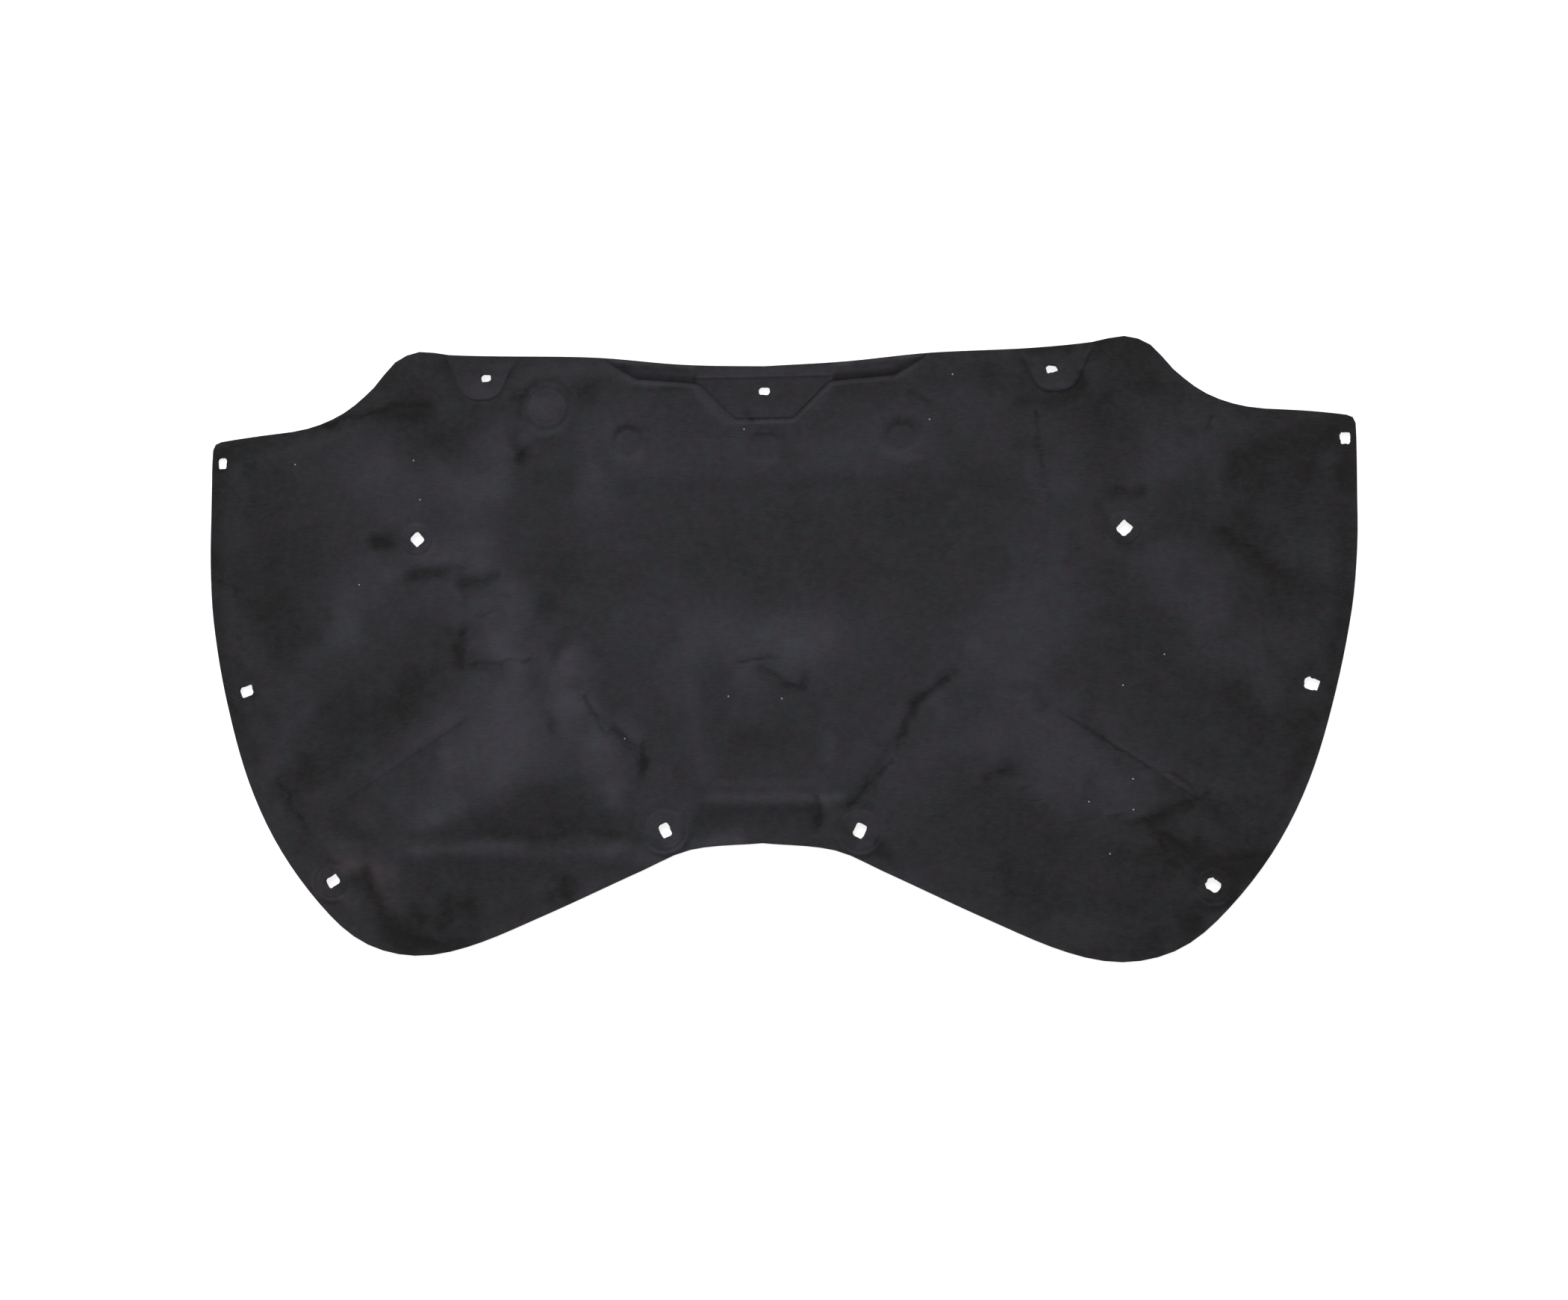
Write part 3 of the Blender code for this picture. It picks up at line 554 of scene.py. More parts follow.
# Tone of the felt, with painted light and shade. The same black felt is drawn lighter or darker in
# broad soft patches. Some are painted shade and painted highlight where the forms and folds lose or
# catch the light: the nozzle channels, the pocket's walls, the dimples' rims, the dish, the left groove
# and the hollow by the right tongue. The others make the felt's tone uneven.
# Each patch has its line and reach in millimetres, and its strength in steps of grey.
plain_grey, darkest_grey, lightest_grey = 48, 28, 68
patch_layers, wide_patch = [(0.012, 0.050, 21), (0.007, 0.018, 23)], 0.050
tone_and_painted_light_patches = in_metres([
    # Rear left
    ([(-430, 332), (-414, 334)], 20, 5),
    ([(-226, 300), (-196, 308)], 18, 5),
    ([(-284, 260), (-250, 268)], 18, 7),
    ([(-302, 250), (-290, 228)], 13, -7),
    ([(-393, 254), (-385, 244)], 16, -6),
    ([(-342, 218), (-330, 218)], 16, -6),
    ([(-202, 268), (-188, 216)], 20, -7),
    ([(-288, 206), (-236, 200)], 22, -6),
    ([(-442, 222), (-492, 196)], 24, 4),
    ([(-352, 132), (-330, 132)], 17, 5),
    ([(-452, 94), (-436, 92)], 14, 6),
    ([(-545, 276), (-480, 290), (-420, 290)], 24, -7),
    ([(-440, 300), (-400, 270)], 85, -6),
    ([(-430, 282), (-424, 294)], 38, -6),
    ([(-480, 225), (-440, 190), (-380, 200)], 62, 7),
    ([(-318, 240), (-350, 165)], 52, 9),
    ([(-345, 112), (-385, 120)], 45, 8),
    ([(-292, 232), (-290, 236)], 18, -12),
    ([(-218, 312), (-208, 306)], 24, -8),
    ([(-300, 303), (-296, 301)], 15, -7),
    ([(-272, 290), (-252, 294)], 24, 6),
    ([(-350, 318), (-330, 310)], 28, 6),
    ([(-201, 262), (-203, 180)], 36, 7),
    ([(-180, 240), (-80, 230), (0, 226)], 52, 5),
    ([(-462, 133), (-458, 130)], 18, -10),
    ([(-430, 89), (-385, 96)], 17, -8),
    ([(-362, 80), (-328, 88)], 16, -8),
    ([(-454, 324), (-405, 346), (-310, 353)], 34, -10),
    ([(-336, 322), (-326, 318)], 16, -5),
    ([(-402, 256), (-372, 268), (-320, 290)], 26, -5),
    ([(-276, 313), (-250, 307)], 14, -6),
    ([(-190, 266), (-160, 284)], 36, 4),
    ([(-178, 222), (-130, 206)], 36, 3),
    ([(-394, 230), (-382, 206)], 30, 5),
    ([(-326, 206), (-318, 190)], 30, 5),
    ([(-456, 160), (-425, 153)], 26, 5),
    ([(-478, 132), (-476, 112)], 12, 5),
    ([(-412, 103), (-390, 104)], 13, 6),
    ([(-377, 78), (-370, 72)], 10, 6),
    # Left margin and left wing
    ([(-680, 128), (-674, 106)], 14, -7),
    ([(-680, 72), (-660, 68)], 20, 6),
    ([(-612, 48), (-578, 58)], 20, -6),
    ([(-640, 192), (-636, 130)], 16, 4),
    ([(-622, -56), (-598, -82)], 20, -7),
    ([(-642, -8), (-636, -14)], 14, -6),
    ([(-548, -138), (-552, -170)], 20, -7),
    ([(-496, -22), (-492, -28)], 16, -5),
    ([(-424, -24), (-414, -34)], 14, -6),
    ([(-632, 178), (-612, 160)], 34, -6),
    ([(-648, 238), (-634, 226)], 22, -5),
    ([(-596, 212), (-580, 200)], 30, -4),
    ([(-645, 108), (-640, 80)], 26, -4),
    ([(-470, 60), (-462, 52)], 20, 5),
    ([(-552, -78), (-572, -110), (-592, -142)], 24, 5),
    ([(-456, -116), (-440, -128)], 26, -4),
    ([(-520, -192), (-500, -214)], 26, -5),
    ([(-640, 240), (-610, 150), (-590, 60), (-590, -10)], 110, -5),
    ([(-590, 115), (-600, 45), (-585, 10)], 48, -6),
    ([(-676, 240), (-672, 60), (-650, -60), (-620, -120)], 28, -10),
    ([(-670, 246), (-560, 270)], 24, -8),
    ([(-565, 140), (-545, 105)], 32, -4),
    ([(-548, 18), (-540, 10)], 20, -7),
    ([(-620, 10), (-550, -62)], 32, 5),
    ([(-500, 60), (-500, 15)], 24, 5),
    ([(-502, 60), (-455, 100)], 42, 6),
    ([(-550, -10), (-505, 25)], 34, 7),
    ([(-415, -35), (-440, -70), (-500, -80)], 62, -6),
    ([(-450, -70), (-560, -150)], 60, -6),
    ([(-425, -50), (-435, -68)], 28, -5),
    ([(-582, -158), (-570, -180)], 22, -6),
    ([(-490, -185), (-475, -215)], 42, -4),
    ([(-363, 18), (-363, -16)], 15, -9),
    ([(-548, -132), (-500, -150)], 36, -5),
    ([(-365, -76), (-460, -148)], 14, 7),
    # Left star
    ([(-244, 82), (-262, 46)], 20, -7),
    ([(-338, -14), (-318, -26)], 24, -8),
    ([(-388, 10), (-380, 22)], 14, -7),
    ([(-240, 6), (-250, -12)], 16, -5),
    ([(-214, -4), (-202, -24)], 20, 7),
    ([(-224, -36), (-220, -44)], 12, -8),
    # Painted light along the left groove, against the shade of its slopes
    ([(-232, -62), (-198, -80), (-180, -112)], 20, 8),
    ([(-162, -78), (-142, -112)], 14, 7),
    ([(-252, -86), (-248, -96)], 12, -8),
    ([(-290, -168), (-248, -164)], 24, -8),
    ([(-176, -162), (-168, -184)], 18, 8),
    ([(-100, -140), (-96, -150)], 12, -6),
    ([(-345, -20), (-308, -18)], 12, -5),
    ([(-352, 28), (-340, 21)], 18, -6),
    ([(-286, 88), (-280, 74)], 24, -4),
    ([(-286, 10), (-276, -40)], 26, -5),
    ([(-249, 4), (-246, -6)], 12, -6),
    # Painted light along the left groove, against the shade of its slopes
    ([(-229, -12), (-210, -62)], 24, 6),
    ([(-202, -96), (-196, -112)], 22, 5),
    ([(-162, -96), (-140, -122)], 14, 5),
    ([(-310, -66), (-280, -115)], 30, 4),
    ([(-350, -55), (-346, -94)], 22, 4),
    ([(-378, -126), (-376, -140)], 18, 5),
    ([(-352, -168), (-346, -196)], 13, -5),
    ([(-402, -202), (-390, -198)], 18, 5),
    ([(-405, 86), (-365, 52)], 56, 6),
    ([(-366, 108), (-340, 100)], 30, 4),
    ([(-375, -85), (-360, -135)], 32, 5),
    ([(-310, -170), (-308, -145)], 34, 4),
    ([(-206, -112), (-198, -128)], 36, 4),
    # Painted light along the left groove, against the shade of its slopes
    ([(-236, -12), (-206, -58), (-164, -96)], 16, 5),
    ([(-300, 100), (-225, 102)], 38, -5),
    ([(-254, 80), (-250, 52)], 24, -5),
    ([(-306, 80), (-312, 0)], 62, 11),
    ([(-300, -30), (-290, -125)], 78, 11),
    ([(-375, -155), (-330, -120)], 52, 7),
    ([(-240, -15), (-240, -85)], 36, 10),
    ([(-215, -110), (-170, -150)], 50, 8),
    ([(-430, -195), (-340, -170)], 36, 5),
    ([(-406, -200), (-352, -186)], 26, 6),
    # Left lobe
    ([(-494, -258), (-462, -262), (-452, -290)], 16, 8),
    ([(-502, -294), (-486, -300)], 13, 6),
    ([(-478, -196), (-470, -206)], 18, 6),
    ([(-478, -226), (-466, -228)], 14, -6),
    ([(-396, -278), (-385, -250), (-345, -258)], 18, -6),
    ([(-440, -316), (-428, -328)], 16, -7),
    ([(-380, -325), (-366, -312)], 16, -7),
    ([(-266, -284), (-250, -282)], 14, 6),
    ([(-198, -222), (-172, -230)], 11, 6),
    ([(-118, -230), (-106, -238)], 13, -9),
    ([(-86, -218), (-68, -221)], 12, -7),
    ([(-272, -222), (-250, -222)], 13, -5),
    ([(-192, -222), (-130, -224)], 13, -7),
    ([(-350, -231), (-280, -231)], 10, 5),
    ([(-430, -243), (-395, -242)], 14, 5),
    ([(-142, -245), (-108, -240)], 16, 8),
    ([(-500, -277), (-480, -270)], 17, -8),
    ([(-474, -244), (-468, -256)], 16, -5),
    ([(-392, -328), (-386, -334)], 14, 6),
    ([(-376, -352), (-360, -350)], 18, -6),
    ([(-420, -220), (-170, -220)], 11, -5),
    ([(-420, -239), (-180, -238)], 10, 6),
    ([(-176, -238), (-100, -230)], 22, 8),
    ([(-240, -272), (-200, -282)], 30, 5),
    ([(-130, -180), (-128, -206)], 22, 5),
    ([(-545, -240), (-560, -225)], 26, -5),
    ([(-500, -254), (-440, -262)], 18, 5),
    ([(-438, -270), (-436, -296)], 20, 6),
    ([(-412, -308), (-400, -316)], 22, -7),
    ([(-350, -302), (-342, -314)], 26, -8),
    ([(-440, -342), (-425, -352)], 24, -5),
    ([(-390, -216), (-300, -206), (-160, -212)], 30, -5),
    ([(-310, -188), (-200, -184)], 52, -4),
    ([(-410, -237), (-290, -236)], 14, 4),
    ([(-476, -268), (-455, -305)], 20, -7),
    ([(-440, -338), (-360, -350)], 40, -11),
    ([(-372, -296), (-378, -320)], 22, -7),
    ([(-400, -270), (-250, -264)], 72, -5),
    ([(-235, -270), (-232, -286)], 18, -6),
    ([(-502, -236), (-452, -256)], 32, 6),
    # Middle
    ([(52, 152), (50, 130)], 20, -5),
    ([(-112, 48), (-108, 20)], 20, -5),
    ([(-160, 112), (-142, 108)], 20, -4),
    ([(80, -106), (78, -128)], 14, 8),
    ([(72, -162), (68, -192)], 12, 6),
    ([(172, -68), (182, -62)], 12, -8),
    ([(200, -50), (210, -82)], 15, 7),
    ([(158, -114), (150, -138)], 13, 6),
    ([(132, -156), (112, -172)], 11, 6),
    ([(90, -183), (124, -184)], 11, -7),
    ([(94, -210), (106, -222)], 16, -8),
    # Painted light over the dish's upper slope, against the shade of its relief, and painted highlight along
    # its foot
    ([(-86, -8), (-70, -40)], 34, 5),
    ([(-25, -28), (-18, -74)], 34, 6),
    ([(30, -30), (60, -34)], 26, 4),
    ([(-60, -177), (90, -175)], 14, 4),
    ([(-62, -227), (-26, -226)], 10, 8),
    ([(-30, 100), (210, 85)], 120, -3),
    ([(6, 78), (14, 40)], 34, -4),
    ([(-30, -4), (45, -10)], 30, 5),
    ([(-112, -26), (-94, -64)], 36, 4),
    # Painted highlight on the dish's left wall and along its foot
    ([(-84, -40), (-64, -150)], 16, 5),
    ([(-56, -175), (88, -175)], 12, 8),
    ([(-74, -224), (-26, -222)], 16, 8),
    ([(110, -140), (122, -122)], 26, 4),
    ([(148, -98), (160, -74)], 18, 4),
    ([(-120, 35), (130, 20)], 80, 4),
    ([(-85, 18), (65, 14)], 56, 6),
    ([(20, 18), (65, 10)], 40, 4),
    ([(-18, -34), (-12, -42)], 22, 5),
    ([(-12, -110), (8, -108)], 45, -5),
    ([(-108, -50), (-62, -150)], 26, 3),
    ([(-110, -150), (-85, -225)], 34, 4),
    ([(-80, -200), (66, -198)], 18, -6),
    ([(61, -186), (62, -206)], 14, -6),
    ([(-142, -120), (-141, -136)], 14, -8),
    # Nozzle recess and the dimples in front of it: painted shade in and along the channels and on the
    # dimples' upper rims, and painted highlight on the lit walls of the pocket and channels and on the
    # dimples' lower rims
    ([(-168, 339), (-95, 334)], 10, -10),
    ([(108, 335), (158, 338)], 9, -10),
    ([(-145, 319), (-90, 317)], 8, 5),
    ([(80, 300), (160, 301)], 14, -5),
    ([(26, 246), (36, 222)], 16, -5),
    ([(-80, 328), (80, 328)], 10, 6),
    ([(-42, 278), (30, 275)], 18, 4),
    ([(-66, 296), (-58, 290)], 20, 4),
    ([(-84, 308), (-44, 266)], 7, 7),
    ([(82, 306), (46, 266)], 6, 4),
    ([(-168, 327), (-90, 322)], 10, 7),
    ([(-155, 311), (-85, 308)], 6, -6),
    ([(95, 324), (178, 334)], 9, 5),
    ([(84, 308), (165, 314)], 9, -7),
    ([(-180, 262), (-163, 268), (-145, 260)], 7, -5),
    ([(-178, 226), (-163, 221), (-148, 226)], 7, 4),
    ([(146, 262), (163, 268), (182, 258)], 7, -5),
    ([(140, 230), (163, 219), (184, 222)], 8, 6),
    ([(190, 262), (208, 200)], 26, 4),
    ([(50, 210), (130, 206)], 22, 3),
    ([(-250, 195), (-180, 200), (-182, 160)], 26, 4),
    # Rear right
    ([(268, 328), (268, 302)], 16, -6),
    ([(290, 341), (299, 326)], 11, 7),
    # Painted shadow behind the right tongue's hole
    ([(316, 338), (354, 338)], 16, -10),
    ([(373, 314), (386, 345)], 10, 6),
    ([(304, 304), (308, 298)], 12, -7),
    # Painted shade in the hollow in front of the right tongue
    ([(335, 285), (380, 292)], 12, -5),
    ([(300, 236), (316, 234)], 14, -6),
    ([(428, 184), (444, 190)], 15, 7),
    ([(388, 160), (400, 134), (422, 115)], 14, -7),
    ([(549, 212), (540, 182)], 16, -7),
    ([(500, 205), (510, 170)], 20, -5),
    ([(220, 172), (246, 150)], 18, -5),
    ([(280, 126), (284, 86)], 18, -5),
    ([(486, 80), (496, 74)], 20, -6),
    ([(656, 58), (650, 38)], 22, 7),
    ([(584, 46), (596, 32)], 22, -6),
    ([(205, 42), (252, 44)], 16, -5),
    ([(124, 258), (172, 278)], 28, 4),
    # Painted shade in the hollow in front of the right tongue
    ([(300, 284), (350, 284)], 15, -7),
    ([(314, 351), (353, 351)], 18, -8),
    ([(306, 300), (358, 304)], 10, 4),
    ([(408, 296), (440, 298)], 26, -6),
    ([(425, 266), (448, 224)], 30, -4),
    ([(415, 116), (429, 114)], 13, -7),
    ([(442, 124), (500, 140)], 22, -4),
    ([(630, 191), (666, 192)], 22, -8),
    ([(660, 252), (674, 257)], 18, -9),
    ([(670, 150), (664, 50)], 22, -7),
    ([(190, 322), (290, 328)], 30, -9),
    ([(310, 352), (350, 352)], 20, -6),
    ([(380, 342), (440, 345)], 48, -9),
    ([(385, 270), (415, 205)], 50, -5),
    ([(460, 306), (520, 272), (640, 248)], 30, -6),
    ([(548, 214), (536, 196)], 20, -7),
    ([(500, 188), (476, 166)], 34, -6),
    ([(550, 140), (575, 120)], 30, -6),
    ([(618, 208), (600, 180)], 34, -5),
    ([(560, 62), (625, 56)], 42, -5),
    ([(536, 18), (560, 36)], 30, -5),
    ([(240, 176), (318, 168)], 22, 3),
    ([(45, 234), (165, 232)], 40, 6),
    ([(140, 160), (190, 184)], 50, -4),
    ([(245, 190), (285, 185)], 55, -4),
    ([(314, 202), (347, 184)], 26, 5),
    ([(318, 290), (400, 272)], 46, -5),
    ([(395, 345), (460, 305)], 62, -6),
    ([(372, 310), (370, 298)], 14, -7),
    ([(455, 225), (495, 215)], 52, 5),
    ([(400, 175), (442, 178)], 16, -7),
    ([(470, 140), (515, 145)], 50, -4),
    ([(580, 225), (640, 240)], 44, -9),
    ([(575, 220), (562, 140)], 30, -8),
    ([(525, 126), (598, 74)], 26, -9),
    ([(620, 220), (640, 100), (660, 20)], 110, -7),
    ([(676, 250), (676, 180)], 30, -8),
    ([(645, 200), (646, 188)], 22, 6),
    ([(640, 110), (645, 86)], 26, 6),
    # Right star and right wing
    ([(538, -58), (574, -86)], 24, -8),
    ([(582, -16), (604, -50)], 20, -6),
    ([(380, -60), (374, -82)], 16, -7),
    ([(288, -45), (312, -50), (326, -66)], 15, -6),
    ([(242, 2), (250, -2)], 14, 6),
    ([(400, -110), (425, -125), (460, -148), (490, -172)], 8, 6),
    ([(458, -166), (472, -170)], 14, -7),
    ([(248, -152), (270, -154)], 15, 7),
    ([(378, -150), (370, -212)], 14, -6),
    ([(616, -144), (622, -132)], 14, 7),
    ([(662, 40), (642, -80), (612, -142), (568, -228)], 24, -7),
    ([(324, -110), (346, -136)], 28, -4),
    ([(468, -112), (498, -150)], 28, -4),
    ([(412, -140), (426, -150)], 18, -4),
    ([(330, 8), (370, 28)], 48, 5),
    ([(260, -114), (284, -150)], 36, 5),
    ([(312, -165), (350, -190)], 28, 5),
    ([(372, 102), (400, 82)], 34, -4),
    ([(570, -120), (560, -160)], 44, -4),
    ([(618, -40), (602, -82)], 32, -5),
    ([(325, 85), (265, 0), (330, -115)], 105, 4),
    ([(335, 70), (250, 0), (305, -30)], 46, 4),
    ([(298, -60), (335, -112)], 52, 4),
    ([(330, -130), (375, -158), (420, -166)], 46, 6),
    ([(160, -148), (250, -92)], 38, 4),
    ([(452, 100), (512, 62), (516, 30)], 44, 6),
    ([(530, 0), (585, -32)], 36, 2),
    ([(415, 10), (440, -40), (545, -115)], 100, -6),
    ([(615, -98), (618, -124)], 42, -11),
    # Right lobe
    ([(396, -195), (440, -192)], 11, 7),
    ([(462, -221), (474, -232)], 11, -8),
    ([(520, -190), (530, -212), (548, -222)], 20, -8),
    ([(576, -198), (590, -176)], 14, 7),
    ([(500, -268), (512, -252), (534, -256)], 18, -9),
    ([(530, -290), (546, -262)], 15, -6),
    ([(508, -238), (526, -238)], 9, 6),
    ([(500, -318), (494, -326)], 14, -7),
    ([(290, -280), (276, -242)], 18, -5),
    ([(412, -296), (420, -296)], 14, -6),
    ([(458, -318), (464, -318)], 13, 6),
    ([(402, -238), (448, -242), (464, -256)], 24, -8),
    ([(490, -272), (500, -290), (532, -286)], 18, -7),
    ([(496, -307), (510, -300)], 16, -6),
    ([(420, -206), (446, -212)], 20, 4),
    ([(200, -220), (290, -275)], 55, -4),
    ([(335, -302), (440, -296)], 62, -4),
    ([(366, -352), (446, -352)], 16, -7),
    ([(530, -275), (562, -254)], 30, -9),
    ([(500, -205), (565, -213)], 18, -6),
    ([(114, -238), (124, -230)], 20, 5),
    ([(430, -207), (490, -182), (570, -190)], 26, -8),
    ([(458, -216), (482, -240)], 30, -6),
    ([(500, -240), (575, -252)], 32, -12),
    ([(484, -312), (486, -328)], 30, -9),
    ([(452, -332), (458, -345)], 20, -5),
    ([(270, -190), (350, -260), (450, -290)], 95, -6),
    ([(266, -156), (288, -142)], 20, -7),
    ([(138, -232), (144, -244)], 16, -9),
    ([(345, -322), (375, -330)], 30, 4),
])

# Damp has left a rusty stain beside the front left clip hole, and fainter ones at two other places
stain_layers = [(0.010, 0.020, 29)]
stains = in_metres([
    ([(-508, -252), (-462, -258), (-446, -290)], 30, 1.0),
    ([(-530, -280), (-500, -300)], 26, 0.6),
    ([(-470, -275), (-455, -300)], 14, 0.8),
    ([(520, -262), (500, -285)], 20, 0.4),
    ([(-560, -190), (-520, -210)], 40, 0.3),
])

# Painted shade in the creases and dents: each darkens the felt at its core, in steps of grey for each
# millimetre of depth, and less round it. The disc, the seats and the tongues are drawn paler than the
# felt round them, with a ring of painted highlight just outside each seat and painted shade in the
# hollow round each tongue.
crease_shade_per_mm = 6.8
crease_shade_core, crease_shade_fade = 0.4, 0.6
shade_halo_share, shade_halo_reach = 0.45, 2.4
uneven_layers = [(0.8, 0.020, 9)]
disc_paleness, tongue_paleness, tongue_painted_shade, tongue_painted_shade_run = 7, 4, 4, 0.018
seat_paleness, seat_edge, seat_ring_highlight = 2, 0.003, 3
form_edge = 0.004


def grey_to_linear(grey):
    """Linear brightness of a grey from 0 to 255."""
    return ((grey / 255 + 0.055) / 1.055) ** 2.4


def felt_tone_and_painted_light(points):
    """Share of the light felt's colour at each point, from 0 at the darkest to 1 at the lightest."""
    wandering = wander(points, patch_layers)
    grey = np.full(len(points), float(plain_grey))
    for line, reach, strength in tone_and_painted_light_patches:
        wandered = points + wandering * min(1, reach / wide_patch)
        grey += strength * ridge(distance_to(wandered, line), reach)
    # Painted shade in each crease and dent, darkest at its core and fainter round it
    torn = points + wander(points, ragged_layers)
    crease_shade = np.zeros(len(points))
    for line, half_width, depth_in_mm in wear_marks:
        across = distance_to(torn, line) / half_width
        core = 1 - ramp(across - crease_shade_core, crease_shade_fade)
        halo = shade_halo_share * (1 - ramp(across, shade_halo_reach))
        crease_shade = np.maximum(crease_shade, crease_shade_per_mm * depth_in_mm * np.maximum(core, halo))
    grey -= crease_shade * (1 + wander(points, uneven_layers)[:, 0])

    grey += disc_paleness * (1 - ramp(away_from(points, disc_place) - disc_radius, form_edge))
    for middle, radius in lined_seats:
        outside = away_from(points, middle) - radius
        grey += seat_paleness * (1 - ramp(outside, seat_edge))
        # Painted highlight in a ring just outside each seat
        grey += seat_ring_highlight * ridge(outside - form_edge, form_edge)
    for ring in (tongue, mirrored(tongue)):
        outside = -depth_inside(points, ring)
        beside = ramp(outside, form_edge)
        grey += tongue_paleness * (1 - beside)
        # Painted shade in the hollow round each tongue
        grey -= tongue_painted_shade * beside * (1 - ramp(outside - form_edge, tongue_painted_shade_run))
    grey = np.clip(grey, darkest_grey, lightest_grey)
    dark, light = grey_to_linear(darkest_grey), grey_to_linear(lightest_grey)
    return (grey_to_linear(grey) - dark) / (light - dark)


def rustiness(points):
    """How strongly the rusty stains show at each point, from 0 to 1."""
    wandered = points + wander(points, stain_layers)
    rust = [share * ridge(distance_to(wandered, line), reach) for line, reach, share in stains]
    return np.max(rust, axis=0)


# The finished pad. One moulded piece of charcoal felt, which stands for the plain solid. Its grey with
# the painted light and shade, its rust and how hard the mould pinched it go with each place on it, for
# the material to read.
def finished_pad(bm):
    """The pressed sheet as an object, with its tone, rust and pinch as attributes."""
    bmesh.ops.recalc_face_normals(bm, faces=bm.faces)
    mesh = bpy.data.meshes.new("moulded_pad")
    bm.to_mesh(mesh)
    bm.free()
    mesh.shade_smooth()
    points = np.array([vert.co.xy for vert in mesh.vertices])
    pinched = 1 - np.clip(moulded_lift(points) / field_lift, 0, 1)
    for name, values in (("tone_and_painted_light", felt_tone_and_painted_light(points)), ("rust", rustiness(points)), ("pinched", pinched)):
        mesh.attributes.new(name, "FLOAT", "POINT").data.foreach_set("value", values.astype(np.float32))
    pad = bpy.data.objects.new("moulded_pad", mesh)
    bpy.context.scene.collection.objects.link(pad)
    return pad


pad = finished_pad(blank)
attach(pad, "root")
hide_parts("insulation_pad")


# Needled felt. Polyester and cotton fibre, dyed charcoal, needled into a mat and hot pressed. To the eye
# it is matt and nearly black, with a soft grain of crossed fibres, a mottle where the fibre clumps, a
# few pale lint specks, and a slightly closer and smoother face where the mould pinches it.
def to_linear(hex_colour):
    """A colour written as sRGB hex, as the linear values that a shader takes."""
    channels = [int(hex_colour[place:place + 2], 16) / 255 for place in (1, 3, 5)]
    return [c / 12.92 if c <= 0.04045 else ((c + 0.055) / 1.055) ** 2.4 for c in channels] + [1]


def add_node(tree, kind, inputs, **settings):
    """A node with its settings, and its inputs given as values or as the outputs that feed them."""
    node = tree.nodes.new(kind)
    for name, value in settings.items():
        setattr(node, name, value)
    for name, value in inputs.items():
        if isinstance(value, bpy.types.NodeSocket):
            tree.links.new(value, node.inputs[name])
        else:
            node.inputs[name].default_value = value
    return node


dark_felt, light_felt = "#1d1c1c", "#44434a"
warm_tint, cool_tint, rust_tint = "#fff4f7", "#f3fffb", "#fff1ea"
lint_colour = "#a9a6a0"
lint_places = [
    (-0.573, 0.228), (-0.425, 0.230), (-0.416, 0.182), (-0.489, 0.080), (0.223, 0.319), (0.196, 0.266),
    (-0.023, 0.259), (0.463, -0.012), (0.416, -0.047), (0.426, -0.154), (0.426, -0.189), (0.376, -0.180),
    (0.399, -0.239), (-0.040, -0.057), (0.023, -0.060), (-0.163, -0.106),
]
lint_radius_mm, lint_depth_mm = 0.9, 12.0
grain_layers = [  # size in mm, detail, roughness and strength of each
    (70.0, 3.0, 0.50, 0.22),
    (24.0, 3.0, 0.55, 0.24),
    (9.0, 4.0, 0.65, 0.42),
]
# Real fibres are finer, and are drawn as coarse as they need to be to show
fibre_length_mm, fibre_width_mm = 9.0, 1.8
fibre_layers = [(4, 0.22), (93, 0.40)]  # direction in degrees and strength of each
needle_pitch_mm, needle_share = 2.2, 0.25
tint_size_mm = 14.0
bump_height, loose_bump, pinched_bump = 0.0007, 0.6, 0.25


